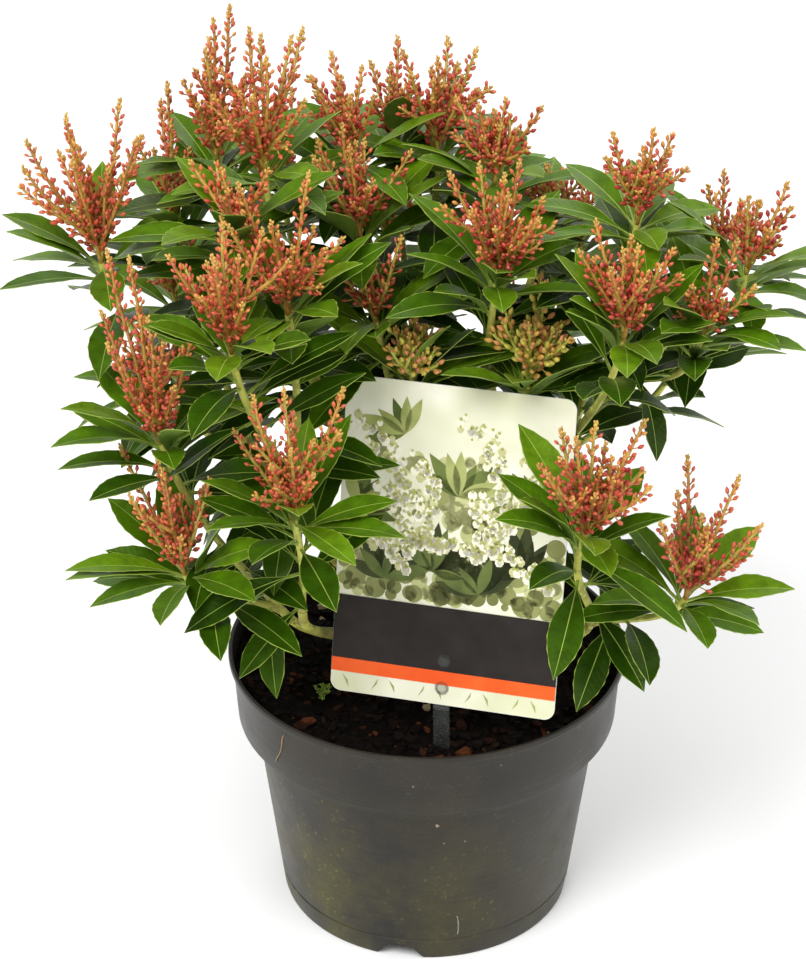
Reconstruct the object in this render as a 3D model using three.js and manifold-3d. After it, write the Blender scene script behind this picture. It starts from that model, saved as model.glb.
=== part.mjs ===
// A pieris in bud, growing in a round nursery pot: an evergreen shrub of forking stems that end in
// whorls of leaves, each whorl under a cluster of upright flower spikes. A picture card on a clear
// stake stands in the soil in front of it.
//
// Millimetres, +Z up. The origin is the centre of the pot's underside, and the front is towards -Y.
// Bearings are degrees from +X towards +Y, and places in the crown are [bearing, reach, height]:
// reach is the distance from the pot's axis, height the distance above the underside.
import * as THREE from "three";
import { mergeVertices } from "three/addons/utils/BufferGeometryUtils.js";
import Module from "manifold-3d";

// ---------------------------------------------------------------- driving dimensions

const GAP = 0.3; // between two solids that meet
const CLEAR = 0.45; // least distance between the foliage of two masses
const TRUNK_ROOM = 0.33; // round the trunk, where the boughs start
const LEAST_EDGE = 0.02; // of a mass of foliage: anything finer is simplified away

const POT = {
  height: 135,
  rimRadius: 95,
  rimHeight: 3, // the lip
  rimThickness: 2,
  bandTopRadius: 93,
  bandFootRadius: 91,
  bandHeight: 35,
  bodyTopRadius: 82.8,
  bodyFootRadius: 70.8,
  wall: 1.6,
  chamfer: 1.2, // round the bottom edge
  skirtHeight: 8, // the skirt that lifts the floor
  skirtThickness: 3,
  floor: 2,
  centreFootRadius: 20,
  centreFootSlope: 5, // width of the slope round it
  step: 1, // half the height of the step at the shoulder, and the height of the one under the lip
  notches: 4,
  notchWidth: 23, // at the bottom edge
  notchTopWidth: 11,
  notchHeight: 7.5,
  firstNotch: 259.5, // bearing
  drains: 4,
  drainRadius: 5,
  drainReach: 50,
  facets: 32,
};

const SOIL = {
  top: 125,
  edgeDrop: 1,
  crown: 0.8,
  crownRing: [0.72, 0.42], // the crown's outer and inner radius, in shares of the soil's
  flatRadius: 16, // round the trunk
  unevenness: 1,
  waves: [0.11, 0.09, 0.23], // radians for each millimetre
};

const TRUNK = {
  height: 50,
  flareRadius: 9.5,
  flareShare: 0.25, // of its height
  footRadius: 6.6,
  tipRadius: 4.6,
  lean: [2, 3],
  sides: 9,
  steps: 6,
};

// `rise` is the angle at which a bough leaves the trunk. `leaving` and `arriving` are how far, in shares
// of a limb's length, it holds its first and its last direction.
const BOUGH = {
  baseRadius: 2.8,
  tipRadius: 1.9,
  rise: 38,
  leaving: 0.4,
  arriving: 0.3,
  sides: 5,
  steps: 4,
};

const TWIG = {
  stemLength: 9,
  overlap: 3, // of the twigs and the stem they part from
  baseRadius: 1.9,
  tipRadius: 1.55,
  leaving: 0.3,
  arriving: 0.4,
  sides: 3,
  steps: 3,
};

const LEAF = {
  perShoot: 8,
  length: 53,
  width: 20,
  widest: 0.58, // of its length, from the foot
  thickness: 1.6, // at the foot, thinning to the tip
  belowTip: [2, 0.8, 0.08], // of leaf i: 2 + 0.8 i + 0.08 i^3, so that the whorl is closest at its top
  aboveHub: 3, // how near the foot of its twig the lowest may stand
  upright: 62, // angle off the shoot of a leaf at its tip
  spread: 0.8, // and how much wider for each millimetre below the tip
  turnPlay: 44,
  anglePlay: 52,
  smallest: 0.88, // of the full size
  largest: 1.12,
  droop: 0.14, // of its length
  fold: 0.4, // rise of the blade towards its edge
};

const SPIKE = {
  most: 5,
  sunk: 1.5, // depth of the first spike's foot in its shoot
  pitch: 1.2, // up the shoot, from one spike to the next
  fan: 46, // angle off the shoot of the outermost
  turnPlay: 50,
  shortening: 0.2, // of the outermost
  lengthPlay: 0.45,
  rise: 0.5, // how strongly its upper half turns upwards
  sides: 3,
  profile: [0.9, 3.1, 0.2], // radii: a bare foot, then buds, to a point
};

// The ways in which a leaf or spike may be turned to keep clear of its neighbours: degrees more
// off its shoot's axis, and degrees round it.
const TURNS = [
  [0, 0],
  [-4, 4],
  [4, -4],
  [-7, -6],
  [7, 8],
  [-12, 3],
  [12, 14],
  [-14, -26],
  [16, -36],
  [-24, 40],
];
const OWN_FOOT = 7; // how near its own foot a leaf or spike may touch the rest of its mass

// How far a shoot leans outwards: upright at the top of the crown, more the lower it is.
const LEAN = { topHeight: 375, atTop: 5, perMillimetre: 0.13 };

const CARD = {
  width: 105,
  height: 148,
  thickness: 0.8,
  corner: 5,
  centre: [10, -52.5, 220],
  turn: -16,
  leanBack: -15.7,
  roll: -1,
};

const STAKE = {
  width: 7.5,
  thickness: 1.2,
  above: 46, // height of its top above the card's lower edge
  bend: -3, // height of its bend above that edge
  below: 48, // from the bend down to the point
  point: 9, // length of the point
  studRadius: 2,
  headRadius: 3.4,
  headTaper: 0.7, // of its radius
  headHeight: 1.4,
  facets: [8, 10], // of a stud and of its head
  studs: [8, 21], // heights above the card's lower edge
  sweep: [-20, 40], // the cut that gives it its outline reaches from 20 in front of the card to 40 behind
};

// Each mass of foliage: the height above the soil at which its bough leaves the trunk, the place
// where the bough ends, and its shoots, each [bearing, reach, height, flower spikes, length of the
// longest, seed of its leaves, seed of its spikes].
const MASSES = {
  left_high: {
    level: 19,
    fork: [172, 78, 225],
    shoots: [
      [180, 145, 336, 10, 86, 58539, 79630],
      [161, 121, 339, 6, 69, 86228, 45585],
    ],
  },
  left_top: {
    level: 33,
    fork: [175, 40, 250],
    shoots: [
      [162, 99, 370, 9, 76, 92354, 99428],
      [172, 73, 374, 10, 75, 1231, 86611],
      [199, 88, 363, 6, 41, 45819, 33830],
    ],
  },
  left_shoulder: {
    level: 25,
    fork: [214, 68, 232],
    shoots: [
      [226, 119, 335, 9, 67, 20078, 43464],
      [219, 78, 335, 8, 69, 88245, 62189],
    ],
  },
  left_low: {
    level: 5,
    fork: [212, 75, 175],
    shoots: [
      [211, 135, 283, 8, 99, 46106, 34524],
      [217, 134, 224, 8, 70, 43752, 3192],
    ],
  },
  front_left: {
    level: 12,
    fork: [225, 80, 185],
    shoots: [
      [241, 119, 265, 8, 75, 58408, 93773],
    ],
  },
  top: {
    level: 38,
    fork: [95, 40, 255],
    shoots: [
      [125, 61, 363, 8, 58, 75754, 43991],
      [86, 61, 361, 9, 65, 91415, 4912],
      [100, 87, 355, 7, 56, 89030, 85034],
    ],
  },
  centre: {
    level: 42,
    fork: [200, 12, 225],
    shoots: [
      [154, 34, 340, 9, 58, 80379, 88808],
      [212, 28, 314, 6, 47, 85598, 75551],
      [250, 21, 285, 8, 37, 13338, 9091],
      [324, 54, 291, 10, 54, 91695, 14870],
    ],
  },
  crest_right: {
    level: 35,
    fork: [30, 28, 250],
    shoots: [
      [45, 42, 360, 10, 46, 37640, 35310],
      [314, 42, 340, 10, 63, 52005, 98783],
      [36, 66, 337, 5, 34, 73685, 91861],
    ],
  },
  right_top: {
    level: 28,
    fork: [345, 60, 240],
    shoots: [
      [354, 91, 359, 10, 50, 9158, 73061],
      [323, 103, 329, 10, 58, 389, 91633],
    ],
  },
  right_high: {
    level: 20,
    fork: [8, 84, 262],
    shoots: [
      [20, 144, 313, 5, 52, 57592, 72075],
      [356, 140, 335, 6, 52, 43222, 55336],
      [339, 126, 323, 5, 50, 1790, 48104],
    ],
  },
  front_right: {
    level: 8,
    fork: [323, 90, 178],
    shoots: [
      [303, 120, 253, 10, 66, 46946, 89308],
      [325, 138, 210, 9, 70, 41776, 38844],
    ],
  },
  back_left: {
    level: 26,
    fork: [150, 78, 200],
    shoots: [
      [145, 147, 275, 6, 54, 18178, 48883],
      [154, 139, 240, 4, 46, 54217, 65378],
    ],
  },
  back_top: {
    level: 10,
    fork: [112, 75, 205],
    shoots: [
      [122, 130, 318, 6, 56, 32362, 99950],
      [98, 136, 285, 6, 50, 57298, 84231],
      [114, 148, 225, 5, 50, 53593, 65541],
    ],
  },
  back_right: {
    level: 24,
    fork: [66, 75, 205],
    shoots: [
      [77, 113, 330, 7, 54, 64863, 40061],
      [57, 137, 290, 6, 50, 73583, 10698],
      [69, 150, 220, 5, 48, 63421, 65884],
    ],
  },
  right_back: {
    level: 13,
    fork: [36, 76, 205],
    shoots: [
      [40, 124, 312, 6, 44, 81891, 99963],
      [31, 137, 245, 5, 48, 60663, 65826],
    ],
  },
};

// ---------------------------------------------------------------- materials

const finish = (color, roughness) => new THREE.MeshStandardMaterial({ color, roughness, metalness: 0 });

const MATERIAL = {
  pot: finish(0x3b3c3b, 0.55),
  soil: finish(0x241810, 0.95),
  bark: finish(0x6b5133, 0.85),
  young_bark: finish(0x7f8a3c, 0.7),
  foliage: finish(0x2f5d1c, 0.45),
  card: finish(0xe9e6da, 0.4),
  stake: finish(0xb9bdb9, 0.2),
};

// ---------------------------------------------------------------- helpers

const wasm = await Module();
wasm.setup();

const UP = new THREE.Vector3(0, 0, 1);
const GOLDEN_ANGLE = 137.5;
const radians = THREE.MathUtils.degToRad;

/** The point at a bearing, a reach from the pot's axis and a height. */
function polar(bearing, reach, height) {
  const angle = radians(bearing);
  return new THREE.Vector3(reach * Math.cos(angle), reach * Math.sin(angle), height);
}

/** A seeded source of numbers from 0 to 1: the minimal standard generator, past its first few. */
function dice(seed) {
  let state = seed;
  const roll = () => (state = (state * 16807) % 2147483647) / 2147483647;
  for (let i = 0; i < 4; i++) roll();
  return roll;
}

/** A closed geometry as a solid that can be joined and cut. */
function solidOf(geometry) {
  const bare = geometry.clone();
  bare.deleteAttribute("normal");
  bare.deleteAttribute("uv");
  const merged = mergeVertices(bare, 1e-3);
  return new wasm.Manifold(
    new wasm.Mesh({
      numProp: 3,
      vertProperties: new Float32Array(merged.attributes.position.array),
      triVerts: new Uint32Array(merged.index.array),
    }),
  );
}

/** A solid as a geometry. */
function geometryOf(solid) {
  const mesh = solid.getMesh();
  const geometry = new THREE.BufferGeometry();
  geometry.setAttribute("position", new THREE.BufferAttribute(mesh.vertProperties, 3));
  geometry.setIndex(new THREE.BufferAttribute(mesh.triVerts, 1));
  geometry.computeVertexNormals();
  return geometry;
}

/** The largest piece of a solid: loose scraps and edges too short to matter are dropped, and hollows
 *  that joining sealed are filled. */
function onePiece(solid) {
  const pieces = solidOf(geometryOf(solid)).decompose();
  return pieces.reduce((a, b) => (b.volume() > a.volume() ? b : a)).simplify(LEAST_EDGE);
}

/** A geometry from a list of points and a list of triangles. */
function faceted(points, triangles) {
  const geometry = new THREE.BufferGeometry().setFromPoints(points);
  geometry.setIndex(triangles.flat());
  return geometry;
}

/** A closed limb along a curve: rings of `sides` corners, with radiusAt giving each ring's radius. */
function limb(curve, radiusAt, sides, steps) {
  const frames = curve.computeFrenetFrames(steps);
  const points = [];
  for (let i = 0; i <= steps; i++) {
    const centre = curve.getPointAt(i / steps);
    for (let j = 0; j < sides; j++) {
      const angle = (2 * Math.PI * j) / sides;
      const out = frames.normals[i].clone().multiplyScalar(Math.cos(angle));
      out.addScaledVector(frames.binormals[i], Math.sin(angle));
      points.push(centre.clone().addScaledVector(out, radiusAt(i / steps)));
    }
  }
  const triangles = [];
  for (let i = 0; i < steps; i++) {
    for (let j = 0; j < sides; j++) {
      const a = i * sides + j;
      const b = i * sides + ((j + 1) % sides);
      triangles.push([a, b, b + sides], [a, b + sides, a + sides]);
    }
  }
  for (let j = 1; j < sides - 1; j++) {
    const last = steps * sides;
    triangles.push([0, j + 1, j], [last, last + j, last + j + 1]);
  }
  return faceted(points, triangles);
}

/** Two directions square to an axis and to each other. */
function squareTo(axis) {
  const first = new THREE.Vector3().crossVectors(UP, axis);
  if (first.length() < 0.1) first.set(1, 0, 0);
  first.normalize();
  return [first, new THREE.Vector3().crossVectors(axis, first).normalize()];
}

/** The direction at an angle off an axis, on the side that `around` gives. */
function offAxis(axis, angle, around) {
  const [first, second] = squareTo(axis);
  return axis
    .clone()
    .multiplyScalar(Math.cos(radians(angle)))
    .addScaledVector(first, Math.sin(radians(angle)) * Math.cos(radians(around)))
    .addScaledVector(second, Math.sin(radians(angle)) * Math.sin(radians(around)));
}

// ---------------------------------------------------------------- pot, soil, card and stake

/** A profile of [radius, height] points turned about Z. */
function turned(profile) {
  const points = profile.map(([radius, height]) => new THREE.Vector2(radius, height));
  return new THREE.LatheGeometry(points, POT.facets).rotateX(Math.PI / 2);
}

const SHOULDER = POT.height - POT.bandHeight;
const FLOOR_TOP = POT.skirtHeight + POT.floor;

/** The inside of the pot's wall, from the floor up, set in by `inset`. */
function innerWall(inset) {
  return [
    [POT.bodyFootRadius - POT.wall - inset, FLOOR_TOP + inset],
    [POT.bodyTopRadius - POT.wall - inset, SHOULDER + POT.step + inset],
    [POT.bandFootRadius - POT.wall - inset, SHOULDER + 3 * POT.step + inset],
    [POT.rimRadius - POT.rimThickness - inset, POT.height],
  ];
}

/** The pot: a turned shell with a wide band under its lip, a notched foot skirt and a drained floor. */
function pot() {
  const shell = turned([
    [0, 0],
    [POT.centreFootRadius, 0],
    [POT.centreFootRadius + POT.centreFootSlope, POT.skirtHeight],
    [POT.bodyFootRadius - POT.skirtThickness, POT.skirtHeight],
    [POT.bodyFootRadius - POT.skirtThickness, 0],
    [POT.bodyFootRadius - POT.chamfer, 0],
    [POT.bodyFootRadius, 2 * POT.chamfer],
    [POT.bodyTopRadius, SHOULDER - POT.step],
    [POT.bandFootRadius, SHOULDER + POT.step],
    [POT.bandTopRadius, POT.height - POT.rimHeight - POT.step],
    [POT.rimRadius, POT.height - POT.rimHeight],
    [POT.rimRadius, POT.height],
    ...innerWall(0).reverse(),
    [0, FLOOR_TOP],
  ]);
  const cutters = [];
  const depth = 4 * POT.skirtThickness;
  for (let i = 0; i < POT.notches; i++) {
    const outline = new THREE.Shape([
      new THREE.Vector2(-POT.notchWidth / 2 - 1, -1),
      new THREE.Vector2(POT.notchWidth / 2 + 1, -1),
      new THREE.Vector2(POT.notchTopWidth / 2, POT.notchHeight),
      new THREE.Vector2(-POT.notchTopWidth / 2, POT.notchHeight),
    ]);
    const notch = new THREE.ExtrudeGeometry(outline, { depth, bevelEnabled: false });
    notch.rotateX(Math.PI / 2).rotateZ(Math.PI / 2).translate(POT.bodyFootRadius - 0.7 * depth, 0, 0);
    cutters.push(notch.rotateZ(radians(POT.firstNotch + (360 / POT.notches) * i)));
  }
  for (let i = 0; i < POT.drains; i++) {
    const drain = new THREE.CylinderGeometry(POT.drainRadius, POT.drainRadius, 4 * POT.floor, 8);
    drain.rotateX(Math.PI / 2).translate(POT.drainReach, 0, POT.skirtHeight + POT.floor / 2);
    cutters.push(drain.rotateZ(radians((360 / POT.drains) * i)));
  }
  return solidOf(shell).subtract(wasm.Manifold.union(cutters.map(solidOf)));
}

/** The soil that fills the pot: a plug clear of the wall, with a gently uneven top that is flat round
 *  the trunk. `pocket` is the room for the stake. */
function soil(pocket) {
  const wall = innerWall(GAP + 0.1);
  const bandFoot = wall[2];
  const lip = wall[3];
  const rise = (SOIL.top - bandFoot[1]) / (lip[1] - bandFoot[1]);
  const edge = bandFoot[0] + (lip[0] - bandFoot[0]) * rise - GAP;
  const plug = turned([
    [0, wall[0][1]],
    ...wall.slice(0, 3),
    [edge, SOIL.top - SOIL.edgeDrop],
    ...SOIL.crownRing.map((share) => [share * edge, SOIL.top + SOIL.crown]),
    [SOIL.flatRadius, SOIL.top],
    [0, SOIL.top],
  ]);
  const places = plug.attributes.position;
  const [alongX, alongY, slantwise] = SOIL.waves;
  for (let i = 0; i < places.count; i++) {
    const [x, y, z] = [places.getX(i), places.getY(i), places.getZ(i)];
    if (z < SOIL.top - 2 || Math.hypot(x, y) < SOIL.flatRadius + 1) continue;
    const waves = Math.sin(alongX * x + 1) * Math.cos(alongY * y) + 0.6 * Math.sin(slantwise * (x + y));
    places.setZ(i, z + SOIL.unevenness * waves);
  }
  return solidOf(plug).subtract(pocket);
}

/** Turns a geometry made upright about the card's lower edge into the card's own place. */
function standWithCard(geometry) {
  const { height, centre, turn, leanBack, roll } = CARD;
  geometry.translate(0, 0, -height / 2);
  geometry.rotateY(radians(roll)).rotateX(radians(leanBack)).rotateZ(radians(turn));
  return geometry.translate(...centre);
}

/** The outline of a rectangle with round corners, standing on the X axis. */
function roundedOutline(width, height, corner) {
  const right = width / 2 - corner;
  const shape = new THREE.Shape();
  shape.absarc(right, height - corner, corner, 0, Math.PI / 2);
  shape.absarc(-right, height - corner, corner, Math.PI / 2, Math.PI);
  shape.absarc(-right, corner, corner, Math.PI, 1.5 * Math.PI);
  shape.absarc(right, corner, corner, 1.5 * Math.PI, 2 * Math.PI);
  return shape;
}

/** The card, with a round hole for each stud of the stake. Its front is towards -Y before it is stood up. */
function card() {
  const outline = roundedOutline(CARD.width, CARD.height, CARD.corner);
  for (const at of STAKE.studs) {
    outline.holes.push(new THREE.Path().absarc(0, at, STAKE.studRadius + GAP, 0, 2 * Math.PI, true));
  }
  const settings = { depth: CARD.thickness, bevelEnabled: false, curveSegments: 4 };
  const sheet = new THREE.ExtrudeGeometry(outline, settings);
  return solidOf(standWithCard(sheet.rotateX(Math.PI / 2).translate(0, CARD.thickness, 0)));
}

/** The clear stake: behind the card it is flat against it, and below it turns straight down to its point.
 *  Two studs button through the card. `grow` thickens it all round, for its pocket in the soil. */
function stake(grow = 0) {
  const { width, thickness, above, below, bend, point } = STAKE;
  const back = CARD.thickness + GAP;
  const [fall, run] = [Math.cos(radians(CARD.leanBack)), -Math.sin(radians(CARD.leanBack))];
  const foot = [back + run * (below + grow), bend - fall * (below + grow)];
  const side = new THREE.Shape([
    new THREE.Vector2(back - grow, above),
    new THREE.Vector2(back - grow, bend),
    new THREE.Vector2(foot[0] - grow * fall, foot[1] - grow * run),
    new THREE.Vector2(foot[0] + (thickness + grow) * fall, foot[1] + (thickness + grow) * run),
    new THREE.Vector2(back + thickness + grow, bend + thickness * 0.3),
    new THREE.Vector2(back + thickness + grow, above),
  ]);
  const strip = new THREE.ExtrudeGeometry(side, { depth: width + 2 * grow, bevelEnabled: false });
  strip.rotateX(Math.PI / 2).rotateZ(Math.PI / 2).translate(-width / 2 - grow, 0, 0);

  const half = width / 2 + grow + 1;
  const front = new THREE.Shape([
    new THREE.Vector2(-half, above + 1),
    new THREE.Vector2(-half, foot[1] + point),
    new THREE.Vector2(-1, foot[1] - grow),
    new THREE.Vector2(1, foot[1] - grow),
    new THREE.Vector2(half, foot[1] + point),
    new THREE.Vector2(half, above + 1),
  ]);
  const [ahead, behind] = STAKE.sweep;
  const outline = new THREE.ExtrudeGeometry(front, { depth: behind - ahead, bevelEnabled: false });
  outline.rotateX(Math.PI / 2).translate(0, behind, 0);

  const pieces = [];
  for (const at of STAKE.studs) {
    const shaft = CARD.thickness + 2 * GAP + 1;
    const stud = new THREE.CylinderGeometry(STAKE.studRadius, STAKE.studRadius, shaft, STAKE.facets[0]);
    pieces.push(stud.translate(0, shaft / 2 - GAP - 0.2, at));
    const { headRadius, headTaper, headHeight, facets } = STAKE;
    const head = new THREE.CylinderGeometry(headRadius, headRadius * headTaper, headHeight, facets[1]);
    pieces.push(head.translate(0, -GAP - headHeight / 2, at));
  }
  const standing = solidOf(standWithCard(strip)).intersect(solidOf(standWithCard(outline)));
  return wasm.Manifold.union([standing, ...pieces.map((piece) => solidOf(standWithCard(piece)))]);
}

// ---------------------------------------------------------------- the shrub

/** The trunk's centre line, from the flat cut on the soil to its tip. */
const trunkLine = new THREE.QuadraticBezierCurve3(
  new THREE.Vector3(0, 0, SOIL.top + GAP),
  new THREE.Vector3(0, 0, SOIL.top + 0.5 * TRUNK.height),
  new THREE.Vector3(...TRUNK.lean, SOIL.top + TRUNK.height),
);

/** The trunk, thickened all round by `grow`: a flared foot and a steady taper above it. */
function trunk(grow = 0) {
  const radiusAt = (t) => {
    const flare = (TRUNK.flareRadius - TRUNK.footRadius) * Math.max(0, 1 - t / TRUNK.flareShare) ** 2;
    return TRUNK.footRadius + (TRUNK.tipRadius - TRUNK.footRadius) * t + flare + grow;
  };
  const line = trunkLine.clone();
  line.v2.z += grow;
  return solidOf(limb(line, radiusAt, TRUNK.sides, TRUNK.steps));
}

/** The direction in which a bough arrives at its fork: towards the middle of its shoots. */
function forkDirection(mass) {
  const middle = new THREE.Vector3();
  for (const [bearing, reach, height] of mass.shoots) middle.add(polar(bearing, reach, height));
  return middle.divideScalar(mass.shoots.length).sub(polar(...mass.fork)).normalize();
}

/** One bough: from inside the trunk, out and up to its fork, cut clear of the trunk. */
function bough(mass, trunkSpace) {
  const start = trunkLine.getPointAt(mass.level / TRUNK.height);
  const end = polar(...mass.fork);
  const outwards = polar(mass.fork[0], Math.cos(radians(BOUGH.rise)), Math.sin(radians(BOUGH.rise)));
  const length = start.distanceTo(end);
  const line = new THREE.CubicBezierCurve3(
    start,
    start.clone().addScaledVector(outwards, length * BOUGH.leaving),
    end.clone().addScaledVector(forkDirection(mass), -length * BOUGH.arriving),
    end,
  );
  const radiusAt = (t) => BOUGH.baseRadius + (BOUGH.tipRadius - BOUGH.baseRadius) * t;
  return solidOf(limb(line, radiusAt, BOUGH.sides, BOUGH.steps)).subtract(trunkSpace);
}

/** A shoot's tip and the direction in which it points. */
function shootTip([bearing, reach, height]) {
  const lean = radians(LEAN.atTop + LEAN.perMillimetre * Math.max(0, LEAN.topHeight - height));
  return { tip: polar(bearing, reach, height), points: polar(bearing, Math.sin(lean), Math.cos(lean)) };
}

/** The stem and twigs of a mass: a stem on from the bough's tip, and a twig from it to each shoot's tip. */
function twigs(mass) {
  const along = forkDirection(mass);
  const foot = polar(...mass.fork).addScaledVector(along, GAP);
  const hub = foot.clone().addScaledVector(along, TWIG.stemLength);
  const stem = limb(new THREE.LineCurve3(foot, hub), () => BOUGH.tipRadius, BOUGH.sides, 1);
  const lines = mass.shoots.map((shoot) => {
    const { tip, points } = shootTip(shoot);
    const start = hub.clone().addScaledVector(along, -TWIG.overlap);
    const length = start.distanceTo(tip);
    const parting = tip.clone().sub(start).normalize().add(along).normalize();
    return new THREE.CubicBezierCurve3(
      start,
      start.clone().addScaledVector(parting, length * TWIG.leaving),
      tip.clone().addScaledVector(points, -length * TWIG.arriving),
      tip,
    );
  });
  const radiusAt = (t) => TWIG.baseRadius + (TWIG.tipRadius - TWIG.baseRadius) * t;
  const rods = lines.map((line) => limb(line, radiusAt, TWIG.sides, TWIG.steps));
  return { lines, wood: [stem, ...rods].map(solidOf) };
}

/** One leaf of six faces: an upright edge for its foot, thinning to the tip, and folded along its midrib. */
function leaf(base, along, up, length, width, thickness) {
  const across = new THREE.Vector3().crossVectors(up, along).normalize();
  const normal = new THREE.Vector3().crossVectors(along, across);
  const at = (s, side, lift) =>
    base
      .clone()
      .addScaledVector(along, s * length)
      .addScaledVector(across, side * width)
      .addScaledVector(normal, lift + LEAF.fold * Math.abs(side) * width - LEAF.droop * s * s * length);
  const top = at(0, 0, thickness / 2);
  const bottom = at(0, 0, -thickness / 2);
  const points = [top, bottom, at(LEAF.widest, -0.5, 0), at(LEAF.widest, 0.5, 0), at(1, 0, 0)];
  const triangles = [
    [0, 1, 2],
    [0, 3, 1],
    [0, 2, 4],
    [0, 4, 3],
    [1, 4, 2],
    [1, 3, 4],
  ];
  return faceted(points, triangles);
}

/** The leaves of one shoot: a spiral of them below its tip, the lower ones spreading wider. Each is
 *  a function of how it is turned, where it is taken to start, and how much it is thickened. */
function leaves(shoot, line) {
  const made = [];
  const roll = dice(shoot[5]);
  const { points } = shootTip(shoot);
  const length = line.getLength();
  const up = points.clone().add(UP);
  const [first, step, growth] = LEAF.belowTip;
  const turnOfFirst = 360 * roll();
  for (let i = 0; i < LEAF.perShoot; i++) {
    const below = first + step * i + growth * i ** 3;
    const base = line.getPointAt(1 - Math.min(below, length - LEAF.aboveHub) / length);
    const around = turnOfFirst + GOLDEN_ANGLE * i + LEAF.turnPlay * (roll() - 0.5);
    const angle = LEAF.upright + LEAF.spread * below + LEAF.anglePlay * (roll() - 0.5);
    const size = LEAF.smallest + (LEAF.largest - LEAF.smallest) * roll();
    made.push((tilt, turn, from, extra) => {
      const along = offAxis(points, angle + tilt, around + turn);
      const start = base.clone().addScaledVector(along, from);
      const reach = LEAF.length * size - from + extra;
      return leaf(start, along, up, reach, LEAF.width * size + 2 * extra, LEAF.thickness + 2 * extra);
    });
  }
  return made;
}

/** The inner flower spikes of one shoot, which part from its tip, fan out and turn upwards. They take
 *  the same measures as the leaves. */
function spikes(shoot) {
  const made = [];
  const [count, longest, , seed] = shoot.slice(3);
  const roll = dice(seed);
  const { tip, points } = shootTip(shoot);
  const axis = points.clone().add(UP).normalize();
  const turnOfFirst = 360 * roll();
  const last = SPIKE.profile.length - 1;
  for (let i = 0; i < Math.min(SPIKE.most, count); i++) {
    const around = turnOfFirst + GOLDEN_ANGLE * i + SPIKE.turnPlay * (roll() - 0.5);
    const share = (i + roll()) / count;
    const reach = longest * (1 - SPIKE.shortening * share) * (1 - SPIKE.lengthPlay * roll());
    const foot = tip.clone().addScaledVector(axis, SPIKE.pitch * i - SPIKE.sunk);
    made.push((tilt, turn, from, extra) => {
      const out = offAxis(axis, SPIKE.fan * share + tilt, around + turn);
      const rise = out.clone().addScaledVector(UP, SPIKE.rise).normalize();
      const start = foot.clone().addScaledVector(out, from);
      const bend = foot.clone().addScaledVector(out, reach * 0.5);
      const end = bend.clone().addScaledVector(rise, reach * 0.5 + extra);
      const line = new THREE.QuadraticBezierCurve3(start, bend, end);
      return limb(line, (t) => SPIKE.profile[Math.round(t * last)] + extra, SPIKE.sides, last);
    });
  }
  return made;
}

/** Adds to a mass each of the growths, spikes or leaves, that keeps clear of all `others` and, past its
 *  foot, of the rest of the mass. One that fits in none of its ways is left out. */
function extend(mass, growths, others) {
  const pieces = [mass.solid];
  const free = (solid, neighbours) => neighbours.every((other) => solid.intersect(other).isEmpty());
  for (const grow of growths) {
    const fits = (way) =>
      free(solidOf(grow(...way, 0, CLEAR)), others) && free(solidOf(grow(...way, OWN_FOOT, 0)), pieces);
    const way = TURNS.find(fits);
    if (way) pieces.push(solidOf(grow(...way, 0, 0)));
  }
  mass.solid = wasm.Manifold.union(pieces);
}

// ---------------------------------------------------------------- assembly

const plant = new THREE.Group();

function add(name, material, solid) {
  const mesh = new THREE.Mesh(geometryOf(solid), material);
  mesh.name = name;
  plant.add(mesh);
  return solid;
}

const placed = [
  add("pot", MATERIAL.pot, pot()),
  add("soil", MATERIAL.soil, soil(stake(GAP))),
  add("card", MATERIAL.card, card()),
  add("card_stake", MATERIAL.stake, stake()),
  add("trunk", MATERIAL.bark, trunk()),
];

const trunkSpace = trunk(TRUNK_ROOM);
for (const [name, mass] of Object.entries(MASSES)) {
  placed.push(add("bough_" + name, MATERIAL.young_bark, bough(mass, trunkSpace)));
}

// The wood of every mass comes first, then all the spikes and then all the leaves, so that a leaf
// gives way to another mass's spike or twig.
const masses = Object.entries(MASSES).map(([name, mass]) => {
  const { lines, wood } = twigs(mass);
  return { name, shoots: mass.shoots, lines, solid: wasm.Manifold.union(wood) };
});
function othersOf(mass) {
  const others = masses.filter((other) => other !== mass);
  return [...placed, ...others.map((other) => other.solid)];
}
for (const mass of masses) {
  for (const shoot of mass.shoots) extend(mass, spikes(shoot), othersOf(mass));
}
for (const mass of masses) {
  mass.shoots.forEach((shoot, index) => extend(mass, leaves(shoot, mass.lines[index]), othersOf(mass)));
  add("foliage_" + mass.name, MATERIAL.foliage, onePiece(mass.solid));
}

export default plant;
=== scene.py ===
"""The looks of the potted pieris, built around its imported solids.

The shrub grows by the same seeded rule as its solids, in millimetres and degrees. Each shoot has twice
their leaves, all its flower spikes with short side spikes on most of them, and old leaves further down.
The pot, the soil with two seedlings, and the card's print are made here too. Meshes are turned into
metres when they are made.
"""

import math

import bpy
import numpy as np
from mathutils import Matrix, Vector
from mathutils.bvhtree import BVHTree


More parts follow.
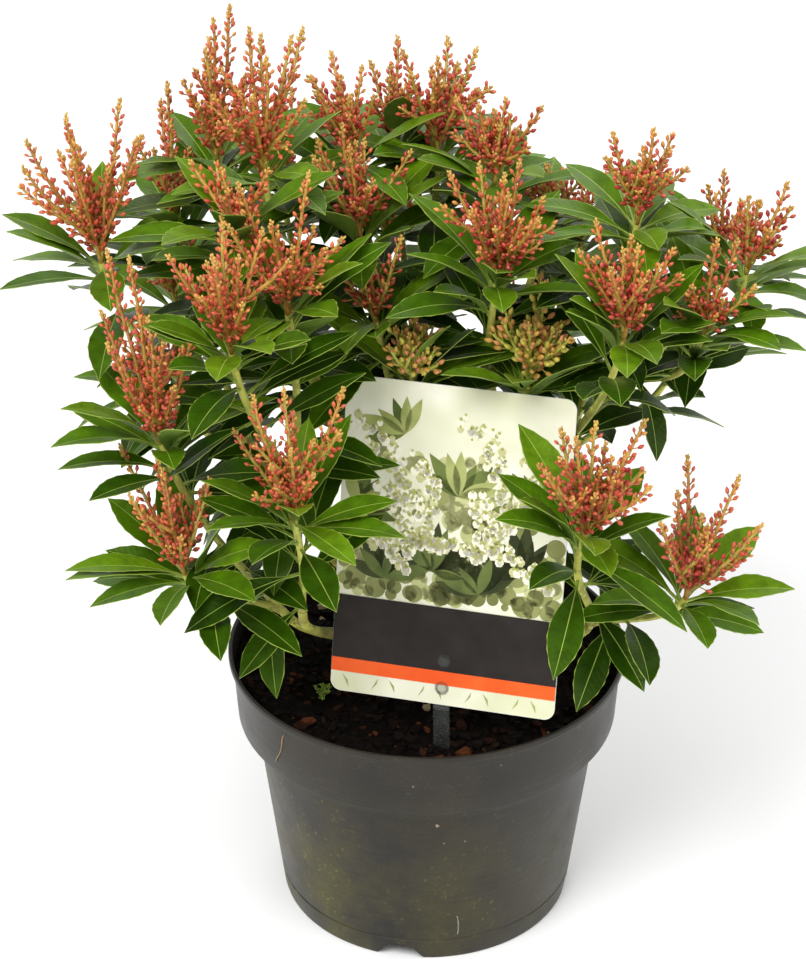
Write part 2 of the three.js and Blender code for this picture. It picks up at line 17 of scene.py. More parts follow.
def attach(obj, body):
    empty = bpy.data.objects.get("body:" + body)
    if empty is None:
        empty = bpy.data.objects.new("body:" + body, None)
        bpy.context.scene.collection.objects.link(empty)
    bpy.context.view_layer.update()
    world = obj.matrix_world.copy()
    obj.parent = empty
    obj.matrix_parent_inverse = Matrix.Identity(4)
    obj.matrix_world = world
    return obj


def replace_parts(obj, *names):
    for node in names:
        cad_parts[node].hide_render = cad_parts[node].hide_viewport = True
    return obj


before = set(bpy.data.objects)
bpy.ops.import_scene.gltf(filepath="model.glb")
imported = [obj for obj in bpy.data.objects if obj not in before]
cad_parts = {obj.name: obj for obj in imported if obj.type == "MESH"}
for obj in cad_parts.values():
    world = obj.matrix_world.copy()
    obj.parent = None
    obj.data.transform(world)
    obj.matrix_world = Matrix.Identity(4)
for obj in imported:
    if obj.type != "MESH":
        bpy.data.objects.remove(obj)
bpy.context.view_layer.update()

MM = 0.001
UP = np.array([0.0, 0.0, 1.0])
GOLDEN_ANGLE = 137.5
MOST_TRIANGLES = 190_000  # in one joined piece

# ---------------- sizes, most of them the solids' own

POT = dict(height=135, rim=95, mouth=93, band=35, band_foot=91, body_top=82.8, body_foot=70.8,
           skirt=8, skirt_wall=3, floor=2, centre_foot=20, notch=(23, 11, 7.5), first_notch=259.5,
           drain=5, drain_reach=50)
SOIL_TOP = 125
TRUNK = dict(height=50, flare=9.5, flare_share=0.25, foot=6.6, tip=4.6, lean=(2, 3))
BOUGH = dict(base=3.0, tip=2.1, rise=38, leaving=0.4, arriving=0.3)
TWIG = dict(stem=9, stem_radius=2.15, overlap=3, base=1.95, tip=1.55, leaving=0.3, arriving=0.4)
LEAF = dict(shared=8, count=16, length=53, width=15, below_tip=(2, 0.8, 0.08), upright=62, spread=0.8,
            turn_play=44, angle_play=52, smallest=0.88, largest=1.12)
OLD_LEAF = dict(below_tip=50, lowest=4, step=7, fallen=0.35, length=(0.8, 0.22), deep=0.6, angle=(78, 24))
SPIKE = dict(sunk=1.5, pitch=1.2, fan=46, turn_play=50, shortening=0.2, length_play=0.45, rise=0.5,
             bare=4.5, branching=0.75)
SIDE_SPIKE = {"from": (0.14, 0.3), "shortest": 5, "share": (0.26, 0.2), "angle": 42}
CORAL_TO = -35  # the x up to which the sprays are coral
LEAN = dict(top=375, at_top=5, per_millimetre=0.13)
CARD = dict(width=105, height=148, corner=5, centre=(10, -52.5, 220), turn=-16, lean=-15.7, roll=-1)
# The ways in which a leaf is tried, each (tilt off its shoot, turn round it).
TURNS = [(0, 0), (-4, 4), (4, -4), (-7, -6), (7, 8), (-12, 3), (12, 14), (-14, -26), (16, -36), (-24, 40)]
SEED_RANGE = 1e6  # of the seeds that a shoot's own dice give its leaves and spikes

# Each mass: the height at which its bough leaves the trunk, the place where the bough ends, and its
# shoots, each (bearing, reach, height, flower spikes, length of the longest, seed of its leaves, seed of
# its spikes).
MASSES = {
    "left_high": (19, (172, 78, 225), [
        (180, 145, 336, 10, 86, 58539, 79630), (161, 121, 339, 6, 69, 86228, 45585)]),
    "left_top": (33, (175, 40, 250), [
        (162, 99, 370, 9, 76, 92354, 99428), (172, 73, 374, 10, 75, 1231, 86611),
        (199, 88, 363, 6, 41, 45819, 33830)]),
    "left_shoulder": (25, (214, 68, 232), [
        (226, 119, 335, 9, 67, 20078, 43464), (219, 78, 335, 8, 69, 88245, 62189)]),
    "left_low": (5, (212, 75, 175), [
        (211, 135, 283, 8, 99, 46106, 34524), (217, 134, 224, 8, 70, 43752, 3192)]),
    "front_left": (12, (225, 80, 185), [
        (241, 119, 265, 8, 75, 58408, 93773)]),
    "top": (38, (95, 40, 255), [
        (125, 61, 363, 8, 58, 75754, 43991), (86, 61, 361, 9, 65, 91415, 4912),
        (100, 87, 355, 7, 56, 89030, 85034)]),
    "centre": (42, (200, 12, 225), [
        (154, 34, 340, 9, 58, 80379, 88808), (212, 28, 314, 6, 47, 85598, 75551),
        (250, 21, 285, 8, 37, 13338, 9091), (324, 54, 291, 10, 54, 91695, 14870)]),
    "crest_right": (35, (30, 28, 250), [
        (45, 42, 360, 10, 46, 37640, 35310), (314, 42, 340, 10, 63, 52005, 98783),
        (36, 66, 337, 5, 34, 73685, 91861)]),
    "right_top": (28, (345, 60, 240), [
        (354, 91, 359, 10, 50, 9158, 73061), (323, 103, 329, 10, 58, 389, 91633)]),
    "right_high": (20, (8, 84, 262), [
        (20, 144, 313, 5, 52, 57592, 72075), (356, 140, 335, 6, 52, 43222, 55336),
        (339, 126, 323, 5, 50, 1790, 48104)]),
    "front_right": (8, (323, 90, 178), [
        (303, 120, 253, 10, 66, 46946, 89308), (325, 138, 210, 9, 70, 41776, 38844)]),
    "back_left": (26, (150, 78, 200), [
        (145, 147, 275, 6, 54, 18178, 48883), (154, 139, 240, 4, 46, 54217, 65378)]),
    "back_top": (10, (112, 75, 205), [
        (122, 130, 318, 6, 56, 32362, 99950), (98, 136, 285, 6, 50, 57298, 84231),
        (114, 148, 225, 5, 50, 53593, 65541)]),
    "back_right": (24, (66, 75, 205), [
        (77, 113, 330, 7, 54, 64863, 40061), (57, 137, 290, 6, 50, 73583, 10698),
        (69, 150, 220, 5, 48, 63421, 65884)]),
    "right_back": (13, (36, 76, 205), [
        (40, 124, 312, 6, 44, 81891, 99963), (31, 137, 245, 5, 48, 60663, 65826)]),
}

# ---------------- vectors, lines and seeds


def dice(seed):
    """The solids' source of numbers from 0 to 1: the minimal standard generator, past its first few."""
    state = seed

    def roll():
        nonlocal state
        state = state * 16807 % 2147483647
        return state / 2147483647

    for _ in range(4):
        roll()
    return roll


def unit(v):
    return v / np.linalg.norm(v, axis=-1, keepdims=True)


def polar(bearing, reach, height):
    angle = math.radians(bearing)
    return np.array([reach * math.cos(angle), reach * math.sin(angle), height], float)


def square_to(axis):
    """Two directions square to an axis and to each other."""
    first = np.cross(UP, axis)
    first = unit(first) if np.linalg.norm(first) > 0.1 else np.array([1.0, 0, 0])
    return first, unit(np.cross(axis, first))


def off_axis(axis, angle, around):
    """The direction at an angle off an axis, on the side that `around` gives."""
    first, second = square_to(axis)
    tilt, turn = math.radians(angle), math.radians(around)
    return axis * math.cos(tilt) + (first * math.cos(turn) + second * math.sin(turn)) * math.sin(tilt)


def turned(a, b, degrees):
    """Two coordinates turned in their plane, from the first towards the second."""
    c, s = math.cos(math.radians(degrees)), math.sin(math.radians(degrees))
    return a * c - b * s, a * s + b * c


def circle(count):
    """The angles of so many even steps round a circle."""
    return 2 * np.pi * np.arange(count) / count


def taper(base, tip):
    """The radius of a limb, as a function of the share of its length."""
    return lambda share: base + (tip - base) * share


class Line:
    """A Bezier line, measured along its length."""

    def __init__(self, *controls):
        t = np.linspace(0, 1, 121)[:, None]
        layer = [np.array(c, float) for c in controls]
        while len(layer) > 1:
            layer = [a + (b - a) * t for a, b in zip(layer, layer[1:])]
        self.points = layer[0]
        steps = np.linalg.norm(np.diff(self.points, axis=0), axis=1)
        self.along = np.concatenate([[0], np.cumsum(steps)])
        self.length = self.along[-1]

    def at(self, distance):
        return np.stack([np.interp(distance, self.along, c) for c in self.points.T], -1)

    def towards(self, distance):
        return unit(self.at(np.add(distance, 1.0)) - self.at(np.subtract(distance, 1.0)))


# ---------------- meshes


def quads_between(rows, columns, closed=True):
    """The quads between rows of so many points each, which run round on themselves where closed."""
    first = np.arange(rows - 1)[:, None] * columns
    here = np.arange(columns if closed else columns - 1)
    onward = (here + 1) % columns
    corners = first + here, first + onward, first + columns + onward, first + columns + here
    return np.stack(corners, -1).reshape(-1, 4)


def prism_faces(corners):
    """The sides and the two ends of a prism whose ends have so many corners each."""
    ring = np.arange(corners)
    return [quads_between(2, corners), np.stack([ring[::-1], ring + corners])]


def tube(path, radii, sides, capped=True):
    """A limb round a path of (n, 3) points. radii has n numbers, or n rows of one for each side."""
    path = np.asarray(path, float)
    radii = np.broadcast_to(np.reshape(radii, (len(path), -1)), (len(path), sides))
    tangents = unit(np.gradient(path, axis=0))
    first = np.cross(tangents[0], UP if abs(tangents[0][2]) < 0.9 else np.array([1.0, 0, 0]))
    firsts = []
    for tangent in tangents:
        first = unit(first - tangent * (first @ tangent))
        firsts.append(first)
    firsts = np.array(firsts)
    seconds = np.cross(tangents, firsts)
    angles = circle(sides)
    rings = firsts[:, None] * np.cos(angles)[:, None] + seconds[:, None] * np.sin(angles)[:, None]
    points = (path[:, None] + rings * radii[..., None]).reshape(-1, 3)
    faces = [quads_between(len(path), sides)]
    if capped:
        ring = np.arange(sides)
        faces += [ring[None, ::-1], ring[None] + sides * (len(path) - 1)]
    return points, faces


class Kind:
    """Many small meshes of one kind, joined into pieces of under MOST_TRIANGLES."""

    def __init__(self, name, materials, slot, smooth_to=180):
        self.name, self.materials, self.slot, self.smooth_to = name, materials, slot, smooth_to
        self.batches, self.triangles, self.pieces = [[]], 0, []

    def add(self, points, faces, slots, uv=None):
        """faces is a list of (n, corners) arrays, and slots the material of each face, or one for all."""
        count = sum(len(f) * (f.shape[1] - 2) for f in faces)
        if self.triangles + count > MOST_TRIANGLES:
            self.batches.append([])
            self.triangles = 0
        self.triangles += count
        total = sum(len(f) for f in faces)
        self.batches[-1].append((points, faces, np.broadcast_to(slots, total), uv))

    def build(self):
        for number, batch in enumerate(self.batches, 1):
            name = self.name if len(self.batches) == 1 else f"{self.name}_{number}"
            offset, corners, sizes, slots = 0, [], [], []
            for points, faces, chosen, _ in batch:
                for f in faces:
                    corners.append((f + offset).ravel())
                    sizes.append(np.full(len(f), f.shape[1]))
                slots.append(chosen)
                offset += len(points)
            corners, sizes = np.concatenate(corners), np.concatenate(sizes)
            mesh = bpy.data.meshes.new(name)
            mesh.vertices.add(offset)
            mesh.vertices.foreach_set("co", (np.concatenate([b[0] for b in batch]) * MM).ravel())
            mesh.loops.add(len(corners))
            mesh.loops.foreach_set("vertex_index", corners)
            mesh.polygons.add(len(sizes))
            mesh.polygons.foreach_set("loop_start", np.concatenate([[0], np.cumsum(sizes)[:-1]]))
            mesh.polygons.foreach_set("material_index", np.concatenate(slots))
            mesh.polygons.foreach_set("use_smooth", np.ones(len(sizes), bool))
            if batch[0][3] is not None:
                layer = mesh.uv_layers.new(name="blade")
                layer.data.foreach_set("uv", np.concatenate([b[3] for b in batch])[corners].ravel())
            mesh.update(calc_edges=True)
            mesh.validate()
            if self.smooth_to < 180:
                mesh.set_sharp_from_angle(angle=math.radians(self.smooth_to))
            for material in self.materials:
                mesh.materials.append(material)
            piece = bpy.data.objects.new(name, mesh)
            bpy.context.scene.collection.objects.link(piece)
            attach(piece, "root")
            self.pieces.append(piece)
        return self.pieces


# ---------------- materials


def channels(colour):
    """The red, green and blue of 0xRRGGBB, each of 255."""
    return [(colour >> shift) & 255 for shift in (16, 8, 0)]


def linear(colour):
    """A colour written as 0xRRGGBB, as the shader takes it."""
    parts = [c / 255 for c in channels(colour)]
    return [c / 12.92 if c <= 0.04045 else ((c + 0.055) / 1.055) ** 2.4 for c in parts] + [1.0]


class Finish:
    """A material of nodes around one Principled shader."""

    def __init__(self, name, roughness=0.5, **constants):
        self.material = bpy.data.materials.new(name)
        self.material.use_nodes = True
        self.tree = self.material.node_tree
        self.shader = self.tree.nodes["Principled BSDF"]
        self.shader.inputs["Roughness"].default_value = roughness
        for key, value in constants.items():
            self.shader.inputs[key.replace("_", " ")].default_value = value
        self.place = self.node("TexCoord").outputs["Object"]

    def node(self, kind, inputs=(), **settings):
        made = self.tree.nodes.new("ShaderNode" + kind)
        for key, value in settings.items():
            setattr(made, key, value)
        for key, value in dict(inputs).items():
            socket = made.inputs[key]
            if isinstance(value, bpy.types.NodeSocket):
                self.tree.links.new(value, socket)
            else:
                socket.default_value = value
        return made

    def noise(self, scale, detail=3, roughness=0.6, place=None):
        inputs = {"Vector": place or self.place, "Scale": scale, "Detail": detail, "Roughness": roughness}
        return self.node("TexNoise", inputs).outputs["Fac"]

    def ramp(self, value, low, high, start=0.0, end=1.0):
        """value between low and high, drawn out to run from start to end."""
        inputs = {"Value": value, "From Min": low, "From Max": high, "To Min": start, "To Max": end}
        return self.node("MapRange", inputs).outputs["Result"]

    def maths(self, operation, a, b=0.0):
        return self.node("Math", {0: a, 1: b}, operation=operation).outputs[0]

    def times(self, a, b):
        return self.maths("MULTIPLY", a, b)

    def mix(self, factor, a, b):
        """Colour a where the factor is 0, and b where it is 1. Each is 0xRRGGBB or a socket."""
        a, b = (linear(c) if isinstance(c, int) else c for c in (a, b))
        return self.node("Mix", {"Factor": factor, 6: a, 7: b}, data_type="RGBA").outputs[2]

    def mottle(self, low, high, scale, detail=3, roughness=0.6, start=0.3, end=0.7):
        """Clouds of one colour in another, of a size given by scale."""
        return self.mix(self.ramp(self.noise(scale, detail, roughness), start, end), low, high)

    def stretched(self, *scale):
        return self.node("Mapping", {"Vector": self.place, "Scale": scale}).outputs["Vector"]

    def colour(self, socket):
        self.tree.links.new(socket, self.shader.inputs["Base Color"])

    def rough(self, socket):
        self.tree.links.new(socket, self.shader.inputs["Roughness"])

    def bump(self, height, distance):
        made = self.node("Bump", {"Height": height, "Distance": distance * MM})
        self.tree.links.new(made.outputs["Normal"], self.shader.inputs["Normal"])


def shade(colour, factor):
    """0xRRGGBB made darker or lighter."""
    red, green, blue = (min(255, round(c * factor)) for c in channels(colour))
    return red << 16 | green << 8 | blue


def mottled(name, colour, roughness, scale, play, bump=0.0, **constants):
    """A plain colour with soft lighter and darker mottling, of a size given by scale."""
    made = Finish(name, roughness, **constants)
    made.colour(made.mottle(shade(colour, 1 - play), shade(colour, 1 + play), scale))
    if bump:
        made.bump(made.noise(scale * 4), bump)
    return made.material


def blade(name, colour):
    """The upper side of a leaf: satin, mottled, with faint side veins that run out from the midrib."""
    made = Finish(name, Specular_IOR_Level=0.17, Specular_Tint=(1, 0.95, 0.5, 1))
    made.colour(made.mottle(shade(colour, 0.86), shade(colour, 1.14), 130))
    made.rough(made.ramp(made.noise(260), 0.3, 0.7, 0.27, 0.42))
    place = made.node("SeparateXYZ", {"Vector": made.node("UVMap", uv_map="blade").outputs["UV"]}).outputs
    slanted = made.maths("SUBTRACT", place["X"], made.maths("ABSOLUTE", place["Y"]))
    veins = made.maths("SINE", made.times(slanted, 2 * math.pi / VEIN_SPACING))
    relief = made.maths("ADD", made.times(veins, VEIN_RELIEF), made.noise(420))
    made.bump(relief, BLADE_RELIEF)
    return made.material


# ---------------- leaves

UV_UNIT = 10  # millimetres on a leaf to one unit of its coordinates
VEIN_SPACING = 0.34  # of that unit
VEIN_RELIEF, BLADE_RELIEF = 0.14, 0.16
LEAF_TONES = [
    blade("leaf_" + name, colour)
    for name, colour in dict(
        deep=0x223C06, dark=0x2D4B05, green=0x3A5A07, mid=0x486A0A, fresh=0x5A7C0F).items()
]
LEAF_MATERIALS = LEAF_TONES + [
    mottled("leaf_rib", 0x93A848, 0.5, 90, 0.08, Specular_IOR_Level=0.4),
    mottled("leaf_margin", 0x8A9E3C, 0.5, 90, 0.08, Specular_IOR_Level=0.4),
    mottled("leaf_underside", 0x66812C, 0.55, 120, 0.1, 0.05),
    mottled("leaf_underside_deep", 0x48661A, 0.55, 120, 0.1, 0.05),
]
RIB, MARGIN, UNDER, UNDER_DEEP = 5, 6, 7, 8
TOP_COLUMNS, UNDER_COLUMNS = 8, 5
PETIOLE = 0.1  # of the leaf's length
MARGIN_WIDTH, RIB_WIDTH, BLADE_THICKNESS, RIB_DEPTH, TOOTH = 0.24, 0.34, 0.3, 0.8, 0.2
TOOTHED = (0.34, 0.97)  # from share to share of the leaf's length
NEW_ROWS, OLD_ROWS = 20, 12  # of points along a leaf of a whorl, and along an old one
# How a leaf bends: arch, pitch and sway in radians, twist in degrees, and the fold as the slope of its
# sides. `arch` and `fold_play` are each the least and what chance adds, and `narrowest` is half the width
# of the petiole and of the tip.
BLADE = dict(arch=(0.34, 0.4), pitch=0.08, twist=36, sway=0.18, fold=0.5, unfolding=0.34,
             fold_play=(0.7, 0.5), wave=0.9, waves=9, levelling=0.25, narrowest=(0.75, 0.12))

leaves = Kind("leaves", LEAF_MATERIALS, "foliage", smooth_to=60)


def leaf_outline(shares):
    """Half the leaf's width at shares of its length: widest past the middle, running out to a point."""
    t = np.clip((shares - PETIOLE) / (1 - PETIOLE), 0, 1)
    return np.sin(np.pi * t**1.25) ** 0.95


def leaf_mesh(base, along, up, length, width, roll, rows):
    """One leaf: an arching, folded and slightly waved blade on a short petiole."""
    across = unit(np.cross(up, along))
    normal = np.cross(along, across)
    shares = np.concatenate([[0, PETIOLE / 2, PETIOLE], np.linspace(PETIOLE + 0.04, 1, rows - 3)])
    least, play = BLADE["arch"]
    arch = least + play * roll()
    pitch = arch * (0.5 - shares) + BLADE["pitch"] * (roll() - 0.5)
    twist = np.radians(BLADE["twist"] * (roll() - 0.5)) * shares
    sway = BLADE["sway"] * (roll() - 0.5) * shares
    least, play = BLADE["fold_play"]
    fold = (BLADE["fold"] - BLADE["unfolding"] * shares) * (least + play * roll())
    wave, phase = BLADE["wave"] * roll(), 6.3 * roll()

    ahead = along * np.cos(pitch)[:, None] + normal * np.sin(pitch)[:, None]
    ahead = unit(ahead + across * np.sin(sway)[:, None])
    steps = np.diff(shares, prepend=0)[:, None] * length
    spine = base + np.cumsum(ahead * steps, axis=0)
    above = unit(np.cross(ahead, across))
    side = np.cross(above, ahead)
    side, above = (side * np.cos(twist)[:, None] + above * np.sin(twist)[:, None],
                   above * np.cos(twist)[:, None] - side * np.sin(twist)[:, None])

    half = np.maximum(leaf_outline(shares) * width / 2, np.where(shares < 0.5, *BLADE["narrowest"]))
    toothed = (shares > TOOTHED[0]) & (shares < TOOTHED[1])
    edge = half + np.where(np.arange(rows) % 2, TOOTH, -TOOTH) * toothed
    rib = np.minimum(RIB_WIDTH * (1 - 0.72 * shares), half * 0.5)
    inner = half - np.minimum(MARGIN_WIDTH, half * 0.35)
    middle = (inner + rib) / 2
    columns = np.stack([-edge, -inner, -middle, -rib, rib, middle, inner, edge], 1)
    beneath = np.stack([-edge, -half / 2, 0 * half, half / 2, edge], 1)

    def placed(offsets, depth):
        """Points beside the spine, raised by the fold and the wave and sunk by a depth."""
        out = offsets / (width / 2)
        rise = fold[:, None] * np.abs(offsets) * (1 - BLADE["levelling"] * np.abs(offsets) / (width / 2))
        rise = rise + wave * np.sin(BLADE["waves"] * shares + phase)[:, None] * out**2 * np.sign(offsets)
        rise = (rise - depth)[..., None]
        return (spine[:, None] + side[:, None] * offsets[..., None] + above[:, None] * rise).reshape(-1, 3)

    def flat(offsets):
        """The same points' places on the flat leaf."""
        lengthwise = np.broadcast_to(shares[:, None] * length, offsets.shape)
        return np.stack([lengthwise, offsets], -1).reshape(-1, 2) / UV_UNIT

    depth = np.full(beneath.shape, BLADE_THICKNESS)
    depth[:, 2] += RIB_DEPTH * (1 - 0.8 * shares)
    depth[:, [1, 3]] += np.where(shares < PETIOLE, 0.5, 0.05)[:, None]
    points = np.concatenate([placed(columns, 0), placed(beneath, depth)])
    return points, np.concatenate([flat(columns), flat(beneath)])


def leaf_faces(rows):
    """The faces of a leaf of that many rows, and their places: blade, rib, margin or under."""
    t, u = TOP_COLUMNS, UNDER_COLUMNS
    first = t * rows
    top = quads_between(rows, t, closed=False)
    under = first + quads_between(rows, u, closed=False)[:, [1, 0, 3, 2]]
    here, below = t * np.arange(rows), first + u * np.arange(rows)
    left = np.stack([here[:-1], here[1:], below[1:], below[:-1]], 1)
    right = np.stack([below[:-1] + u - 1, below[1:] + u - 1, here[1:] + t - 1, here[:-1] + t - 1], 1)
    ends = []
    for row in (0, rows - 1):
        ring = [here[row] + c for c in range(t)] + [below[row] + c for c in reversed(range(u))]
        ends.append(ring[::-1] if row == 0 else ring)
    strip = ["margin", "blade", "blade", "rib", "blade", "blade", "margin"]
    stalk = 2  # rows of quads
    places = ["rib"] * (stalk * (t - 1)) + strip * (rows - 1 - stalk)
    places += ["rib"] * (stalk * (u - 1)) + ["under"] * ((rows - 1 - stalk) * (u - 1))
    places += ["margin"] * (2 * (rows - 1)) + ["rib", "margin"]
    return [np.concatenate([top, under, left, right]), np.array(ends)], np.array(places)


LEAF_FACES = {rows: leaf_faces(rows) for rows in (NEW_ROWS, OLD_ROWS)}


def leaf_slots(places, tone):
    """The material of each face of a leaf whose blade has a tone."""
    under = UNDER_DEEP if tone < 2 else UNDER
    return np.select([places == "rib", places == "margin", places == "under"], [RIB, MARGIN, under], tone)


def search_tree(points, faces):
    return BVHTree.FromPolygons([Vector(p) for p in points], [list(f) for f in faces])


class Space:
    """What has grown so far, as coarse meshes that a new leaf is tried against."""

    def __init__(self):
        self.trees = []

    def add(self, points, faces, weight):
        points = np.asarray(points, float)
        self.trees.append((search_tree(points, faces), points.min(0), points.max(0), weight))

    def crossed(self, points, faces):
        """The weight of what a mesh would cross."""
        low, high = points.min(0), points.max(0)
        tree, total = None, 0
        for other, least, most, weight in self.trees:
            if (least > high).any() or (most < low).any():
                continue
            if tree is None:
                tree = search_tree(points, faces)
            if tree.overlap(other):
                total += weight
        return total


space = Space()
COARSE_ROWS, COARSE_COLUMNS = [4, 8, 12, 16, 19], [0, 3, 7]
TURN_COST = 0.03  # of a degree, where crossing one leaf costs 1
SOLID = 100  # what it costs to cross the card, the pot or the soil


def coarse(points, rows):
    """A few faces of a leaf past its foot, for the trial of what it crosses."""
    picked = [round(r * (rows - 1) / (NEW_ROWS - 1)) for r in COARSE_ROWS]
    top = points[: rows * TOP_COLUMNS].reshape(rows, TOP_COLUMNS, 3)
    kept = top[picked][:, COARSE_COLUMNS].reshape(-1, 3)
    return kept, quads_between(len(COARSE_ROWS), len(COARSE_COLUMNS), closed=False)


def grow_leaf(base, axis, angle, around, length, roll, tone, most_crossed=SOLID - 1, rows=NEW_ROWS):
    """Adds a leaf, turned in whichever of its ways crosses least for how far it turns. One that still
    crosses too much is left out."""
    best = None
    seed = round(roll() * SEED_RANGE) + 1
    for tilt, turn in TURNS:
        along = off_axis(axis, angle + tilt, around + turn)
        width = LEAF["width"] * (length / LEAF["length"]) ** 0.5
        points, uv = leaf_mesh(base, along, axis + UP, length, width, dice(seed), rows)
        crossed = space.crossed(*coarse(points, rows))
        cost = crossed + TURN_COST * (abs(tilt) + abs(turn))
        if best is None or cost < best[0]:
            best = (cost, crossed, points, uv)
        if crossed == 0:
            break
    _, crossed, points, uv = best
    if crossed > most_crossed:
        return
    faces, places = LEAF_FACES[rows]
    leaves.add(points, faces, leaf_slots(places, tone), uv)
    space.add(*coarse(points, rows), 1)


# ---------------- flower spikes

BUD_TONES = {
    name: mottled("bud_" + name, colour, 0.45, 300, 0.12)
    for name, colour in dict(
        coral=0xC8643A, salmon=0xCC8A44, red=0xB8462C, crimson=0xAC312B, rose=0xC45C44, orange=0xC48E40,
        gold=0xC49C4A, bronze=0xCE9E4C, olive=0xC8BC50, blush=0xD08C58, bract=0xB4B054,
        axis_orange=0xBC9242, axis_brown=0xAE7E38, axis_straw=0xB8A04A, axis_olive=0xB6B84E).items()
}
BUD_SLOTS = {name: i for i, name in enumerate(BUD_TONES)}
RED_AXES = ["axis_brown", "axis_orange", "axis_straw"]
# The tones of a spray's buds from the foot of its spikes to just below their tips, those of its axes,
# and the size of its buds.
SPRAYS = {
    "coral": (["coral", "red", "rose", "red", "coral"], ["coral", "salmon", "coral", "rose"], RED_AXES, 0.92),
    "crimson": (["crimson", "red", "rose", "rose"], ["rose", "red", "coral", "salmon"], RED_AXES, 0.95),
    "bronze": (["bronze", "olive", "blush", "olive"], ["bronze", "olive", "blush"], ["axis_olive"], 1.25),
}
buds = Kind("buds", list(BUD_TONES.values()), "foliage")
axes = Kind("flower_axes", list(BUD_TONES.values()), "foliage")

BUD_SIDES = 5
BUD_RINGS = [(0, 0.3), (0.22, 0.86), (0.52, 1.0), (0.82, 0.6)]  # height and radius, of its own
BUD = dict(length=3.7, width=2.2, rise=0.45, seat=0.3, stalk_radii=(0.32, 0.38))
BRACT = (3.2, 1.3, 0.5, 34, 1.9)  # length, width, stalk, angle, and the step to the next
TIP = 0.11  # of a spike's length
UPPER = 0.62  # the share of it from where the upper tones run
AXIS_RADII = (1.15, 0.6)


def bud_template():
    """A bud one long and one wide, standing on the origin, with a point for its tip."""
    angles, n = circle(BUD_SIDES), BUD_SIDES
    rings = [np.stack([np.cos(angles) * r / 2, np.sin(angles) * r / 2, np.full(n, z)], 1)
             for z, r in BUD_RINGS]
    points = np.concatenate([*rings, [[0, 0, 1]]])
    last = n * (len(BUD_RINGS) - 1)
    tips = [[last + i, last + (i + 1) % n, last + n] for i in range(n)]
    return points, [quads_between(len(BUD_RINGS), n), np.array(tips), np.arange(n)[None, ::-1]]


BUD_POINTS, BUD_FACES = bud_template()
STALK_FACES = [quads_between(2, 3)]


def grow_bud(foot, axis, angle, around, stalk, length, width, tone, stalk_tone):
    """A bud on its stalk, which leaves the spike's axis and turns a little upwards."""
    out = off_axis(axis, angle, around)
    neck = foot + out * stalk
    rise = unit(out + BUD["rise"] * axis)
    points, _ = tube([foot, neck + rise * BUD["seat"]], BUD["stalk_radii"], 3, capped=False)
    axes.add(points, STALK_FACES, BUD_SLOTS[stalk_tone])
    first = unit(np.cross(rise, UP + np.array([0.3, 0.1, 0])))
    second = np.cross(rise, first)
    x, y, z = (BUD_POINTS * [width, width, length]).T[:, :, None]
    buds.add(neck + first * x + second * y + rise * z, BUD_FACES, BUD_SLOTS[tone])


def pick(choices, roll):
    return choices[min(int(roll() * len(choices)), len(choices) - 1)]


def grow_spike(line, spray, roll, bare=SPIKE["bare"]):
    """One flower spike: a few bracts along its foot, then buds on stalks in a spiral up its axis, larger
    and redder below, tiny and golden at its tip."""
    low_tones, high_tones, axis_tones, scale = SPRAYS[spray]
    axis_tone = pick(axis_tones, roll)
    steps = np.linspace(0, line.length, 12)
    sway = np.stack([np.sin(steps / 7 + 6 * roll()), np.cos(steps / 8 + 6 * roll()), 0 * steps], 1)
    path = line.at(steps) + 0.5 * sway * (steps / line.length)[:, None]
    points, faces = tube(path, np.linspace(*AXIS_RADII, len(steps)), 5)
    axes.add(points, faces, BUD_SLOTS[axis_tone])
    distance, index, phase = 3 + 2 * roll(), 0, 360 * roll()
    while distance < line.length:
        share = distance / line.length
        foot = np.array([np.interp(distance, steps, c) for c in path.T])
        if distance < bare:
            tone = "bract"
            length, width, stalk, angle, step = BRACT
        elif share < 1 - TIP:
            size = scale * (1.1 - 0.32 * share) * (0.84 + 0.3 * roll())
            length, width = BUD["length"] * size, BUD["width"] * size
            stalk = scale * (4.1 - 2.1 * share) * (0.5 + 0.8 * roll())
            angle = 56 - 16 * share + 24 * (roll() - 0.5)
            tone = pick(low_tones if share < UPPER else high_tones, roll)
            step = scale * (1.8 - 0.4 * share)
        else:
            near = (1 - share) / TIP
            length, width, stalk = 1.7 + 0.7 * near, 1.15 + 0.5 * near, 0.4 + 0.6 * near
            angle = 28 + 16 * near
            tone = "gold" if near < 0.5 else pick(["gold", "orange", high_tones[-1]], roll)
            step = 0.75
        around = phase + GOLDEN_ANGLE * index
        grow_bud(foot, line.towards(distance), angle, around, stalk, length, width, tone, axis_tone)
        distance += step
        index += 1


# ---------------- wood

WOOD = [
    mottled("bark_old", 0x5A4430, 0.85, 160, 0.35, 0.5),
    mottled("bark_brown", 0x7A6038, 0.8, 160, 0.3, 0.4),
    mottled("bark_green", 0x8A863C, 0.65, 140, 0.24, 0.2),
    mottled("stem_green", 0xA3A548, 0.55, 120, 0.18, 0.12),
    mottled("stem_young", 0xB9BB56, 0.5, 120, 0.14, 0.1),
]
twigs = Kind("twigs", WOOD, "young_bark", smooth_to=50)
limbs = Kind("trunk_and_boughs", WOOD, "bark", smooth_to=60)

# Each kind of limb's sides, the step along it, its tones in WOOD from foot to tip, and its relief.
BARK = dict(trunk=(18, 1.5, (0, 1), 0.1), bough=(12, 2, (0.6, 2.6), 0.09), stem=(10, 1.6, (2, 3), 0.06),
            twig=(8, 2.6, (2.4, 4.3), 0.05))
CORE = [[1.2, 0, 0], [-0.6, 1, 0], [-0.6, -1, 0]]  # of a limb, as leaves are tried against it


